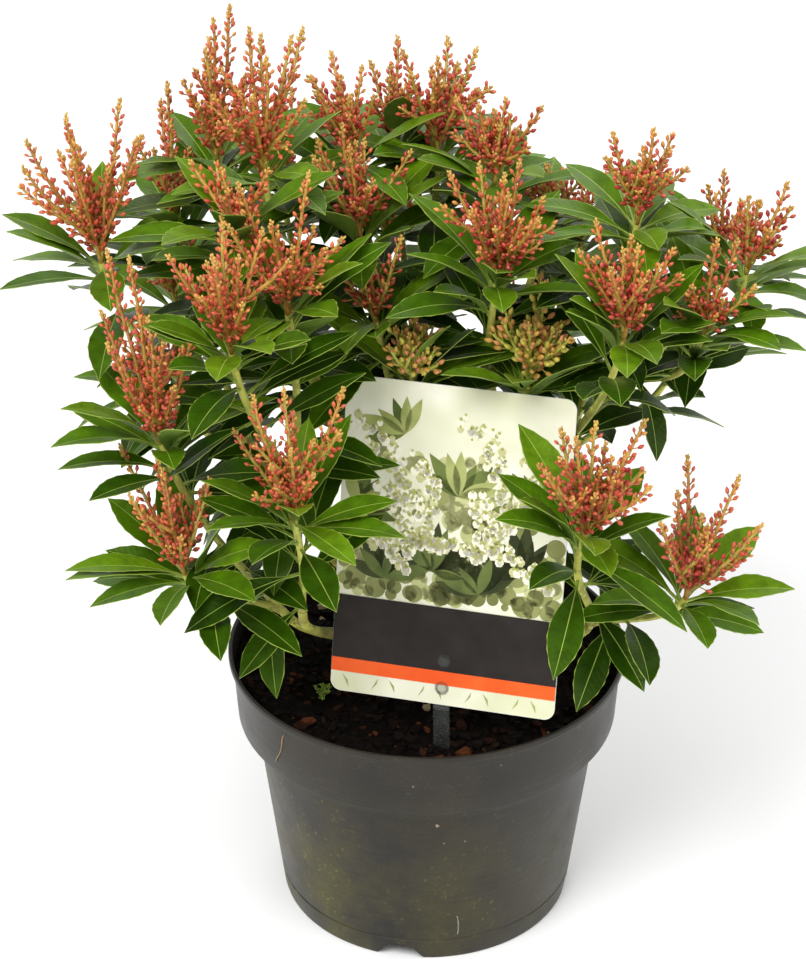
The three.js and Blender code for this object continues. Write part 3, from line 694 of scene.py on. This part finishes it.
def grow_limb(kind, line, radius_at, sides, step, tones, relief, roll):
    """A limb with rough bark: rings that swell and shrink, ridges along it, and a tone that runs from
    the first to the second of `tones` with a ragged edge between."""
    distances = np.linspace(0, line.length, max(4, round(line.length / step)))
    shares = distances / line.length
    angles = circle(sides)
    turns = [6.3 * roll() for _ in range(4)]
    ridges = np.sin(3 * angles[None] + turns[0] + 0.12 * distances[:, None])
    ridges = ridges + 0.7 * np.sin(5 * angles[None] + turns[1] - 0.21 * distances[:, None])
    swells = np.sin(distances / 4.3 + turns[2])[:, None] + 0.8 * np.sin(distances / 2.1 + turns[3])[:, None]
    rough = np.array([[roll() for _ in range(sides)] for _ in distances]) - 0.5
    radii = np.array([radius_at(s) for s in shares])[:, None]
    radii = radii * (1 + relief * (0.5 * ridges + 0.35 * swells + 0.8 * rough))
    points, faces = tube(line.at(distances), radii, sides)
    ragged = np.array([roll() for _ in range(len(faces[0]))]) - 0.5
    across = np.clip(np.repeat(shares[:-1], sides) + 0.35 * ragged, 0, 0.999)
    spread = tones[0] + (tones[1] - tones[0]) * across
    slots = np.concatenate([np.round(spread), [tones[0], tones[1]]]).astype(int)
    kind.add(points, faces, slots)
    core = line.at(distances)[:, None] + np.array(CORE)
    space.add(core.reshape(-1, 3), quads_between(len(distances), len(CORE)), 1)


trunk_top = SOIL_TOP + TRUNK["height"]
trunk_line = Line((0, 0, SOIL_TOP), (0, 0, SOIL_TOP + TRUNK["height"] / 2), (*TRUNK["lean"], trunk_top))


def trunk_radius(share):
    flare = (TRUNK["flare"] - TRUNK["foot"]) * max(0, 1 - share / TRUNK["flare_share"]) ** 2
    return taper(TRUNK["foot"], TRUNK["tip"])(share) + flare


def fork_direction(fork, shoots):
    return unit(sum(polar(*shoot[:3]) for shoot in shoots) / len(shoots) - polar(*fork))


def bough_line(level, fork, shoots):
    start, end = trunk_line.at(level), polar(*fork)
    rise = math.radians(BOUGH["rise"])
    length = np.linalg.norm(end - start)
    out = polar(fork[0], math.cos(rise), math.sin(rise))
    arriving = fork_direction(fork, shoots) * length * BOUGH["arriving"]
    return Line(start, start + out * length * BOUGH["leaving"], end - arriving, end)


def shoot_tip(shoot):
    bearing, reach, height = shoot[:3]
    lean = math.radians(LEAN["at_top"] + LEAN["per_millimetre"] * max(0, LEAN["top"] - height))
    return polar(bearing, reach, height), polar(bearing, math.sin(lean), math.cos(lean))


def twig_line(fork, shoots, shoot):
    along = fork_direction(fork, shoots)
    hub = polar(*fork) + along * TWIG["stem"]
    tip, points = shoot_tip(shoot)
    start = hub - along * TWIG["overlap"]
    length = np.linalg.norm(tip - start)
    parting = unit(unit(tip - start) + along) * length * TWIG["leaving"]
    return Line(start, start + parting, tip - points * length * TWIG["arriving"], tip)


def spike_lines(shoot, roll):
    """The lines of a shoot's flower spikes, the inner ones first. They part from its tip, fan out and
    turn upwards."""
    tip, points = shoot_tip(shoot)
    axis = unit(points + UP)
    count, longest = shoot[3:5]
    first = 360 * roll()
    for i in range(count):
        around = first + GOLDEN_ANGLE * i + SPIKE["turn_play"] * (roll() - 0.5)
        share = (i + roll()) / count
        reach = longest * (1 - SPIKE["shortening"] * share) * (1 - SPIKE["length_play"] * roll())
        out = off_axis(axis, SPIKE["fan"] * share, around)
        foot = tip + axis * (SPIKE["pitch"] * i - SPIKE["sunk"])
        bend = foot + out * reach / 2
        yield Line(foot, bend, bend + unit(out + SPIKE["rise"] * UP) * reach / 2)


def side_spike(spike, roll):
    """The line of a short spike that branches off the lower part of another."""
    (nearest, play), (least, most) = SIDE_SPIKE["from"], SIDE_SPIKE["share"]
    distance = spike.length * (nearest + play * roll())
    reach = SIDE_SPIKE["shortest"] + spike.length * (least + most * roll())
    start, out = spike.at(distance), off_axis(spike.towards(distance), SIDE_SPIKE["angle"], 360 * roll())
    bend = start + out * reach / 2
    return Line(start, bend, bend + unit(out + SPIKE["rise"] * UP) * reach / 2)


def spray_of(name, index, shoot):
    """Bronze for the two low shoots at the centre, coral at the left, and crimson elsewhere."""
    if name == "centre" and index >= 2:
        return "bronze"
    return "coral" if polar(*shoot[:3])[0] < CORAL_TO else "crimson"


def whorl(roll):
    """A shoot's leaves, each (distance below its tip, angle off it, turn round it, length): those of the
    solids, and as many more between them on the same spiral."""
    base, step, growth = LEAF["below_tip"]
    first = 360 * roll()
    for k in range(LEAF["count"]):
        i = k if k < LEAF["shared"] else k - LEAF["shared"] + 0.5
        below = base + step * i + growth * i**3
        around = first + GOLDEN_ANGLE * k + LEAF["turn_play"] * (roll() - 0.5)
        angle = LEAF["upright"] + LEAF["spread"] * below + LEAF["angle_play"] * (roll() - 0.5)
        size = LEAF["smallest"] + (LEAF["largest"] - LEAF["smallest"]) * roll()
        yield below, angle, around, LEAF["length"] * size


def grow_shoot(shoot, line):
    """A shoot's whorl of leaves, darker below, and the old leaves further down its twig."""
    roll = dice(shoot[5])
    _, points = shoot_tip(shoot)
    for below, angle, around, length in list(whorl(roll)):
        below = min(below, line.length - 3)
        tone = min(4, max(0, round(3.7 - 0.1 * below + 1.3 * (roll() - 0.5))))
        grow_leaf(line.at(line.length - below), points, angle, around, length, roll, tone)
    distance, k = line.length - OLD_LEAF["below_tip"], LEAF["count"]
    (least, play), (smallest, spread) = OLD_LEAF["length"], OLD_LEAF["angle"]
    while distance > OLD_LEAF["lowest"]:
        fallen = roll() < OLD_LEAF["fallen"]
        length = LEAF["length"] * (least + play * roll())
        tone = 0 if roll() < OLD_LEAF["deep"] else 1
        angle = smallest + spread * roll()
        if not fallen:
            base, axis, around = line.at(distance), line.towards(distance), GOLDEN_ANGLE * k
            grow_leaf(base, axis, angle, around, length, roll, tone, 0, OLD_ROWS)
        distance -= OLD_LEAF["step"]
        k += 1


# ---------------- card


def card_points(points):
    """Points made upright about the middle of the card's lower edge, in the card's own place."""
    x, y, z = np.asarray(points, float).T
    z, x = turned(z - CARD["height"] / 2, x, CARD["roll"])
    y, z = turned(y, z, CARD["lean"])
    x, y = turned(x, y, CARD["turn"])
    return np.stack([x, y, z], 1) + np.array(CARD["centre"])


# What stands in the leaves' way: the card with the top of its stake, the pot's wall and the soil.
half_card = CARD["width"] / 2 + 1
front = [(-half_card, -1), (half_card, -1), (half_card, CARD["height"] + 1), (-half_card, CARD["height"] + 1)]
box = card_points([(x, y, z) for y in (-1.2, 3.2) for x, z in front])
space.add(box, np.concatenate(prism_faces(len(front))), SOLID)
sides = 24
ring = [polar(360 * i / sides, 1, 0) for i in range(sides)]
for radius in (POT["rim"] + 2, POT["mouth"] - 1):
    wall = [p * radius + UP * z for z in (60, POT["height"] + 2) for p in ring]
    space.add(wall, quads_between(2, sides), SOLID)
middle = UP * (SOIL_TOP + 2)
disc = [[0, 1 + i, 1 + (i + 1) % sides] for i in range(sides)]
space.add([middle] + [p * POT["mouth"] + middle for p in ring], disc, SOLID)

# ---------------- growth

grow_limb(limbs, trunk_line, trunk_radius, *BARK["trunk"], dice(77))
grown = []
for number, (name, (level, fork, shoots)) in enumerate(MASSES.items(), 1):
    line = bough_line(level, fork, shoots)
    grow_limb(limbs, line, taper(BOUGH["base"], BOUGH["tip"]), *BARK["bough"], dice(501 * number))
    along = fork_direction(fork, shoots)
    stem = Line(polar(*fork) - along, polar(*fork) + along * TWIG["stem"])
    radius = TWIG["stem_radius"]
    grow_limb(twigs, stem, taper(radius, radius), *BARK["stem"], dice(503 * number))
    for index, shoot in enumerate(shoots):
        line = twig_line(fork, shoots, shoot)
        roll = dice(509 * number + index)
        grow_limb(twigs, line, taper(TWIG["base"], TWIG["tip"]), *BARK["twig"], roll)
        grown.append((spray_of(name, index, shoot), shoot, line))
for spray, shoot, line in grown:
    roll = dice(shoot[6])
    for spike in list(spike_lines(shoot, roll)):
        own = dice(round(roll() * SEED_RANGE) + 7)
        grow_spike(spike, spray, own)
        if own() < SPIKE["branching"]:
            grow_spike(side_spike(spike, own), spray, own, 0)
        points, faces = tube(spike.at(np.linspace(6, spike.length, 4)), [2, 2, 2, 1], 3)
        space.add(points, faces[0], 1)
for spray, shoot, line in grown:
    grow_shoot(shoot, line)

FOLIAGE = ["foliage_" + name for name in MASSES]
for piece in leaves.build() + twigs.build() + axes.build() + buds.build():
    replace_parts(piece, *FOLIAGE)
for piece in limbs.build():
    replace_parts(piece, "trunk", *["bough_" + name for name in MASSES])

# ---------------- pot


def plastic():
    """Dark nursery-pot plastic: satin, dusty, with faint moulding lines and algae towards the foot."""
    made = Finish("pot_plastic", Specular_IOR_Level=0.39, Specular_Tint=(1, 0.95, 0.86, 1))
    place = made.node("SeparateXYZ", {"Vector": made.place}).outputs
    dust = made.ramp(made.noise(28, 5), 0.42, 0.72)
    base = made.mix(dust, 0x181614, 0x2A2620)
    leftward = made.ramp(place["X"], 0.04, -0.07, 0.25, 1.15)
    low = made.times(made.ramp(place["Z"], 0.12, 0.0), leftward)
    damp = made.ramp(made.noise(16, 6, 0.7), 0.4, 0.66)
    base = made.mix(made.times(damp, made.times(low, 0.95)), base, 0x54501A)
    speck = made.ramp(made.noise(420, 4), 0.6, 0.7)
    patch = made.ramp(made.noise(30, 4), 0.44, 0.62)
    algae = made.times(made.times(speck, patch), made.maths("ADD", low, 0.16))
    base = made.mix(algae, base, 0x75752F)
    grit = made.ramp(made.noise(190, 2), 0.76, 0.8)
    made.colour(made.mix(grit, base, 0x9A8474))
    made.rough(made.ramp(dust, 0, 1, 0.36, 0.52))
    lines = made.noise(9, 2, place=made.stretched(1, 1, 90))
    made.bump(made.maths("ADD", lines, made.times(made.noise(700), 0.4)), 0.12)
    return made.material


SHOULDER = POT["height"] - POT["band"]
FLOOR_TOP = POT["skirt"] + POT["floor"]
POT_SEGMENTS, POT_SMOOTH_TO = 192, 32


def lathe(profile, segments):
    """The points and faces of a closed profile of (radius, height) turned about Z."""
    points = [[r * math.cos(a), r * math.sin(a), z] for a in circle(segments) for r, z in profile]
    return np.array(points), [quads_between(segments + 1, len(profile))[:, [0, 3, 2, 1]] % len(points)]


def steps_from(radius, height, *steps):
    """Places in a profile, each a step (outwards, upwards) away from one place."""
    return [(radius + out, height + up) for out, up in steps]


def pot_profile():
    """The pot's outline: up its outside, over its lip, down its inside and along its underside."""
    foot, top, band = POT["body_foot"], POT["body_top"], POT["band_foot"]
    slope = (top - foot) / (SHOULDER - 3.4)

    def wall(z):
        return foot + slope * (z - 2.4)

    outside = steps_from(foot, 0, (-1.2, 0), (-0.5, 0.5), (0, 2.4))
    outside += [(wall(z) - sunk, z) for z, sunk in ((11.2, 0), (11.6, 0.35), (12.2, 0.35), (12.6, 0))]
    outside += [(wall(z), z) for z in (30, 50, 70, 90)]
    outside += steps_from(top, SHOULDER, (-0.1, -1.6), (0.5, -0.6), (2, 0))
    outside += steps_from(band, SHOULDER, (-1.2, 0.3), (-0.2, 0.8), (0.1, 2), (0.9, 14), (1.8, 29))
    lip = steps_from(POT["mouth"], POT["height"], (0, -3.8), (0.4, -3.2), (1.6, -3))
    lip += steps_from(POT["rim"], POT["height"], (0, -2.5), (0, -0.6), (-0.3, -0.1), (-0.8, 0),
                      (-1.5, -0.1), (-1.9, -0.5))
    inside = steps_from(POT["mouth"], POT["height"], (-1, -13))
    inside += steps_from(band, SHOULDER, (-1.2, 3.4), (-2, 2.6))
    inside += steps_from(top, SHOULDER, (-1, 1), (-1.8, -1))
    inside += steps_from(foot, FLOOR_TOP, (-1.4, 1), (-2.4, 0)) + [(0.01, FLOOR_TOP)]
    under = [(0.01, 0), (POT["centre_foot"], 0), (POT["centre_foot"] + 5, POT["skirt"])]
    under += [(foot - POT["skirt_wall"], POT["skirt"]), (foot - POT["skirt_wall"], 0.4), (foot - 2.6, 0)]
    return outside + lip + inside + under


def pot_cutters():
    """What the pot is cut by: notches in its foot skirt, and drains through its floor."""
    wide, narrow, tall = POT["notch"]
    made = Kind("pot_cutters", [], "pot")
    for i in range(4):
        bearing = POT["first_notch"] + 90 * i
        out, aside = polar(bearing, 1, 0), polar(bearing + 90, 1, 0)
        shape = [(-wide / 2 - 1, -1), (wide / 2 + 1, -1), (narrow / 2, tall), (-narrow / 2, tall)]
        points = np.array([out * r + aside * x + UP * z for r in (62, 76) for x, z in shape])
        made.add(points, prism_faces(len(shape)), 0)
        middle = polar(90 * i, POT["drain_reach"], 0)
        made.add(*tube([middle + UP * 4, middle + UP * 14], [POT["drain"]] * 2, 20), 0)
    return made.build()[0]


pot = Kind("nursery_pot", [plastic()], "pot", smooth_to=POT_SMOOTH_TO)
pot.add(*lathe(pot_profile(), POT_SEGMENTS), 0)
pot_piece = pot.build()[0]
cutter = pot_cutters()
cut = pot_piece.modifiers.new("cut", "BOOLEAN")
cut.object, cut.operation, cut.solver = cutter, "DIFFERENCE", "EXACT"
whole = bpy.data.meshes.new_from_object(pot_piece.evaluated_get(bpy.context.evaluated_depsgraph_get()))
pot_piece.modifiers.clear()
pot_piece.data = whole
whole.set_sharp_from_angle(angle=math.radians(POT_SMOOTH_TO))
bpy.data.objects.remove(cutter)
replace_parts(pot_piece, "pot")

# ---------------- soil

SOIL_GRAIN = 220


def earth(name, low, high):
    made = Finish(name, 0.85, Specular_IOR_Level=0.1)
    made.colour(made.mottle(low, high, SOIL_GRAIN, 5, 0.7, 0.35, 0.68))
    made.bump(made.noise(SOIL_GRAIN * 2, 5, 0.7), 0.9)
    return made.material


SOIL = [
    earth("soil_" + name, low, high)
    for name, (low, high) in dict(
        peat=(0x070403, 0x120B07), dark=(0x0A0604, 0x190F09), bark=(0x1E0F08, 0x3A2013),
        red=(0x40200F, 0x683821), pale=(0x8F7C5E, 0xC2B08E)).items()
]
BED = dict(rings=46, spokes=150, reach=91.6, rough=1.4)
CHIPS = dict(count=1500, reach=89, from_trunk=10, from_wall=89.5, tilt=40, rough=0.35)
CHIP_CORNERS = [(-1, 0.3), (-0.5, 1), (0.5, 0.9), (1, 0.1), (0.6, -0.9), (-0.6, -1)]
CHIP_SHARES = (0.35, 0.72, 0.94, 0.985)  # of the chips, up to the end of each tone of SOIL but the last
# Seedlings in the soil, each (bearing, reach, leaves, length of a leaf); and marks on the pot, each a line
# through places (bearing, reach, height).
SEEDLINGS = [(210.6, 58, 6, 5.5), (208.2, 54, 5, 4.5)]
MARKS = [
    [(224.6, 92.8, 127), (222.2, 92.6, 123), (225, 92.4, 118), (220.8, 92.2, 113), (219.6, 91.8, 107)],
    [(281.1, 74.1, 27.7), (282.2, 73.4, 21.6), (281.6, 72.5, 14.8)],
]


def soil_height(x, y):
    """The soil's uneven top, which is level round the trunk and lower by the wall."""
    reach = np.hypot(x, y)
    waves = np.sin(0.11 * x + 1) * np.cos(0.09 * y) + 0.6 * np.sin(0.23 * (x + y))
    lumps = 0.7 * np.sin(0.7 * x + 0.4 * y) * np.sin(0.6 * y - 0.3 * x)
    lumps = lumps + 0.4 * np.sin(1.3 * x) * np.cos(1.1 * y)
    uneven, sunk = np.clip((reach - 8) / 20, 0, 1), np.clip((reach - 70) / 20, 0, 1)
    return SOIL_TOP - 0.6 + uneven * (waves + lumps) - sunk


def grow_bed(bed, roll):
    """The soil's surface, in rings of points with a last one at the centre."""
    spokes = BED["spokes"]
    reach = np.linspace(0, BED["reach"], BED["rings"])[1:]
    x, y = reach[:, None] * np.cos(circle(spokes)), reach[:, None] * np.sin(circle(spokes))
    rough = np.array([roll() for _ in range(x.size)]).reshape(x.shape) - 0.5
    z = soil_height(x, y) + BED["rough"] * rough * (reach[:, None] > 6)
    points = np.concatenate([np.stack([x, y, z], -1).reshape(-1, 3), [[0, 0, SOIL_TOP]]])
    middle = [[x.size, i, (i + 1) % spokes] for i in range(spokes)]
    bed.add(points, [quads_between(len(reach), spokes)[:, ::-1], np.array(middle)], 0)


def grow_chip(chips, roll):
    """A chip of bark that lies on the soil: a flat, uneven slab of six corners."""
    reach, bearing = CHIPS["reach"] * math.sqrt(roll()), 360 * roll()
    if reach < CHIPS["from_trunk"]:
        return
    length = 2.2 + 6 * roll() ** 2.2
    wide, thick = length * (0.35 + 0.4 * roll()), length * (0.14 + 0.2 * roll())
    x, y, _ = polar(bearing, min(reach, CHIPS["from_wall"] - length / 2), 0)
    turn, tilt = 360 * roll(), math.radians(CHIPS["tilt"] * (roll() - 0.5))
    lengthwise = polar(turn, math.cos(tilt), math.sin(tilt))
    aside = unit(np.cross(UP + 0.5 * polar(360 * roll(), roll(), 0), lengthwise))
    above = np.cross(lengthwise, aside)
    centre = np.array([x, y, soil_height(x, y) + thick * 0.5 + 0.5 * roll()])
    points = []
    for side in (-0.5, 0.5):
        for a, b in CHIP_CORNERS:
            point = centre + lengthwise * length / 2 * a * (0.7 + 0.5 * roll())
            point = point + aside * wide / 2 * b * (0.7 + 0.5 * roll())
            points.append(point + above * thick * (side + CHIPS["rough"] * (roll() - 0.5)))
    chance = roll()
    tone = sum(chance > share for share in CHIP_SHARES)
    chips.add(np.array(points), prism_faces(len(CHIP_CORNERS)), tone)


def grow_soil():
    roll = dice(4242)
    bed = Kind("soil_bed", SOIL[:1], "soil")
    grow_bed(bed, roll)
    chips = Kind("soil_chips", SOIL, "soil", smooth_to=25)
    for _ in range(CHIPS["count"]):
        grow_chip(chips, roll)
    for piece in bed.build() + chips.build():
        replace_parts(piece, "soil")


def grow_seedlings():
    """Seedlings that have sprung up in the soil: rosettes of small leaves."""
    made = Kind("seedlings", LEAF_MATERIALS, "foliage", smooth_to=60)
    faces, places = LEAF_FACES[OLD_ROWS]
    slots = leaf_slots(places, len(LEAF_TONES) - 1)
    for number, (bearing, reach, count, length) in enumerate(SEEDLINGS):
        roll = dice(61 + number)
        x, y, _ = polar(bearing, reach, 0)
        foot = np.array([x, y, soil_height(x, y)])
        for k in range(count):
            along = off_axis(UP, 30 + 45 * roll(), GOLDEN_ANGLE * k)
            size = length * (0.7 + 0.5 * roll())
            points, uv = leaf_mesh(foot + UP * 0.4 * k, along, UP, size, 0.5 * length, roll, OLD_ROWS)
            made.add(points, faces, slots, uv)
    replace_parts(made.build()[0], "soil")


def grow_marks():
    """A dry root that clings to the pot's band, and a pale scrape low on its wall."""
    finishes = [mottled("dry_root", 0x8C7558, 0.8, 300, 0.2), mottled("scrape", 0x8A887A, 0.7, 300, 0.2)]
    made = Kind("pot_marks", finishes, "pot")
    for slot, rows in enumerate(MARKS):
        line = Line(*[polar(*row) for row in rows])
        made.add(*tube(line.at(np.linspace(0, line.length, 14)), [0.12, *[0.34, 0.26] * 6, 0.12], 5), slot)
    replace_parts(made.build()[0], "pot")


grow_soil()
grow_seedlings()
grow_marks()

# ---------------- card and stake


def print_finish(name, low, high, scale):
    made = Finish(name, 0.32, Specular_IOR_Level=0.16)
    made.colour(made.mottle(low, high, scale, 2, start=0.35, end=0.65))
    return made.material


# Each tone of the print lies a layer of ink above the one before it.
PRINT = {
    name: print_finish("print_" + name, low, high, scale)
    for name, (low, high, scale) in dict(
        field=(0xD1D2B0, 0xF0EEDC, 22), haze=(0xA6AA6E, 0xC6C790, 40), haze_deep=(0x6E7342, 0x94975E, 40),
        leaf_dark=(0x2E361C, 0x484E2A, 60), leaf=(0x4C5A2C, 0x6E7A40, 60),
        leaf_pale=(0x8E9754, 0xAAB06E, 60), bell_shade=(0xBCBA84, 0xCFCC9E, 120),
        bell=(0xE4E1C4, 0xF4F1DE, 120), calyx=(0xA3A65C, 0xB4B56E, 120),
        stripe=(0xE8571F, 0xEE6026, 80), block=(0x231E1B, 0x2B2623, 80)).items()
}
PRINT_SLOTS = {name: i for i, name in enumerate(PRINT)}
INK = 0.035
STRIPE_FOOT, BLOCK_FOOT, PICTURE_FOOT = 9.5, 16, 46
# The print's leaf sprigs, each (x, z, angle, leaves), and its hanging sprays of bells, each (x, z, angle,
# length), in millimetres and degrees on the card; and half the outline of a bell of size one.
SPRIGS = [(-30, 56, 80, 10), (-8, 62, 60, 10), (14, 54, 100, 11), (34, 66, 110, 10), (-44, 88, 40, 8),
          (2, 98, 70, 8), (38, 98, 140, 8), (-24, 124, 120, 6)]
BELL_SPRAYS = [(-46, 130, -40, 44), (-14, 116, -78, 40), (6, 136, -52, 46), (36, 118, -100, 44),
               (-48, 86, -30, 34), (-22, 74, 12, 34), (20, 76, -20, 30), (-30, 104, -62, 34),
               (14, 104, -84, 32)]
HALF_BELL = [(0.5, -0.1), (0.78, -0.5), (0.72, -1.05), (0.42, -1.35), (0.5, -1.55)]
BELL_STEP = 2.2  # along a spray


def grow_print():
    """The card's printed front: hanging sprays of white bells among leaves, over a soft pale field, above
    a dark block and an orange stripe, with no words."""
    made = Kind("card_print", list(PRINT.values()), "card", smooth_to=30)
    roll = dice(909)
    height, edge = CARD["height"], CARD["width"] / 2 - 0.15

    def shape(outline, tone):
        front = -INK * (PRINT_SLOTS[tone] + 1.5)
        points = [(x, y, z) for y in (-0.01, front) for x, z in outline]
        made.add(card_points(points), prism_faces(len(outline)), PRINT_SLOTS[tone])

    def rounded(low, high, corner, tone):
        outline = []
        for n, (x, z) in enumerate([(edge, high), (-edge, high), (-edge, low), (edge, low)]):
            cx, cz = x - math.copysign(corner, x), z - math.copysign(corner, z - (low + high) / 2)
            for angle in (0, 22.5, 45, 67.5, 90):
                a, b = turned(corner, 0, 90 * n + angle)
                outline.append((cx + a, cz + b))
        shape(outline, tone)

    def blot(x, z, radius, tone):
        x = min(max(x, radius - edge), edge - radius)
        shape([(x + radius * math.cos(t), z + radius * math.sin(t)) for t in circle(16)], tone)

    def sprig_leaf(x, z, angle, length, tone):
        outline = [(t * length, 0.15 * length * math.sin(math.pi * t**0.9)) for t in np.linspace(0, 1, 9)]
        outline += [(t, -w) for t, w in outline[-2:0:-1]]
        placed = [(x + a, z + b) for a, b in (turned(t, w, angle) for t, w in outline)]
        if all(abs(a) < edge and PICTURE_FOOT < b < height - 1 for a, b in placed):
            shape(placed, tone)

    def bell(x, z, size):
        if abs(x) > edge - size or z > height - 2 or z < PICTURE_FOOT + 1.6 * size:
            return
        outline = [(0, 0), *HALF_BELL, *[(-a, b) for a, b in reversed(HALF_BELL)]]
        tone = "bell" if roll() < 0.72 else "bell_shade"
        shape([(x + a * size, z + b * size) for a, b in outline], tone)
        blot(x, z - 0.1 * size, 0.3 * size, "calyx")

    rounded(0.15, height - 0.15, CARD["corner"], "field")
    for _ in range(260):
        up = roll() ** 1.5
        radius = 1.5 + 3.5 * roll()
        x = 100 * (roll() - 0.5)
        tone = "haze" if roll() < 0.3 + 0.9 * up else "haze_deep"
        blot(x, PICTURE_FOOT + radius + up * 66, radius, tone)
    for x, z, angle, count in SPRIGS:
        tones = ["leaf_dark"] * 3 + ["leaf"] if z < 80 else ["leaf", "leaf_pale"]
        for k in range(count):
            out = (k - (count - 1) / 2) * 150 / count
            tone = pick(tones, roll)
            sprig_leaf(x, z, angle + out + 12 * roll(), 15 + 9 * roll(), tone)
    for x, z, angle, length in BELL_SPRAYS:
        for along in np.arange(0, length, BELL_STEP):
            heading = math.radians(angle - 0.6 * along)
            x, z = x + BELL_STEP * math.cos(heading), z + BELL_STEP * math.sin(heading)
            spread = 1.5 + 6 * (1 - along / length)
            for _ in range(3):
                out, up = spread * (2 * roll() - 1), 0.6 * spread * (2 * roll() - 1)
                bell(x + out, z + up, 1.8 + 1.1 * roll())
    rounded(BLOCK_FOOT, PICTURE_FOOT, 0.01, "block")
    rounded(STRIPE_FOOT, BLOCK_FOOT, 0.01, "stripe")
    for k in range(9):
        x, lean = -44 + 11 * k, 3 * math.cos(math.radians(62 if k % 2 else 118))
        shape([(x, 2.5), (x + lean + 1, 5.5), (x + 2 * lean, 8)], "leaf_pale")
    return made.build()[0]


def clear_plastic():
    made = Finish("stake_clear", 0.1, IOR=1.45, Alpha=0.28, Coat_Weight=0.8, Coat_Roughness=0.05)
    made.colour(made.mottle(0x3C403D, 0x747975, 60))
    made.bump(made.noise(90), 0.5)
    return made.material


def carried(node, material):
    """A solid that is shown as it is, in a finish of its own."""
    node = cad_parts[node]
    node.data.materials.clear()
    node.data.materials.append(material)


grow_print()
carried("card", mottled("card_stock", 0xE9E8E0, 0.3, 60, 0.02))
carried("card_stake", clear_plastic())

# ---------------- stage, light and camera

SENSOR = 36  # millimetres along the picture's longer side
FOCAL_PIXELS, LONG_SIDE = 2800, 959  # of the photo
VIEW_DOWN = 30


def floor():
    mesh = bpy.data.meshes.new("floor")
    mesh.from_pydata([(-6, -6, 0), (6, -6, 0), (6, 6, 0), (-6, 6, 0)], [], [(0, 1, 2, 3)])
    finish = Finish("floor_white", 0.9, Specular_IOR_Level=0.1)
    finish.colour(finish.mix(finish.noise(3), 0xF9F9F9, 0xFDFDFD))
    mesh.materials.append(finish.material)
    made = bpy.data.objects.new("floor", mesh)
    bpy.context.scene.collection.objects.link(made)


def lamp(name, place, target, size, power):
    data = bpy.data.lights.new(name, "AREA")
    data.shape, data.size, data.energy = "DISK", size, power
    made = bpy.data.objects.new(name, data)
    made.location = place
    made.rotation_mode = "QUATERNION"
    made.rotation_quaternion = (Vector(target) - Vector(place)).to_track_quat("-Z", "Y")
    bpy.context.scene.collection.objects.link(made)


def studio():
    world = bpy.data.worlds.new("studio")
    world.use_nodes = True
    world.node_tree.nodes["Background"].inputs["Color"].default_value = (1, 1, 1, 1)
    world.node_tree.nodes["Background"].inputs["Strength"].default_value = 0.76
    bpy.context.scene.world = world
    middle = (0, 0, 0.22)
    lamp("key", (-0.8, -1.4, 2.2), middle, 1.4, 47)
    lamp("fill", (1.6, -1.2, 1.4), middle, 1.6, 14)
    lamp("back", (0.4, 1.6, 1.7), middle, 1.2, 9)


def camera():
    data = bpy.data.cameras.new("camera")
    data.sensor_width, data.lens = SENSOR, SENSOR * FOCAL_PIXELS / LONG_SIDE
    data.clip_start, data.clip_end = 0.05, 30
    made = bpy.data.objects.new("camera", data)
    made.location = (-0.0114, -1.122, 0.873)
    made.rotation_euler = (math.radians(90 - VIEW_DOWN), 0, 0)
    bpy.context.scene.collection.objects.link(made)
    bpy.context.scene.camera = made


floor()
studio()
camera()
bpy.context.scene.view_settings.view_transform = "Standard"
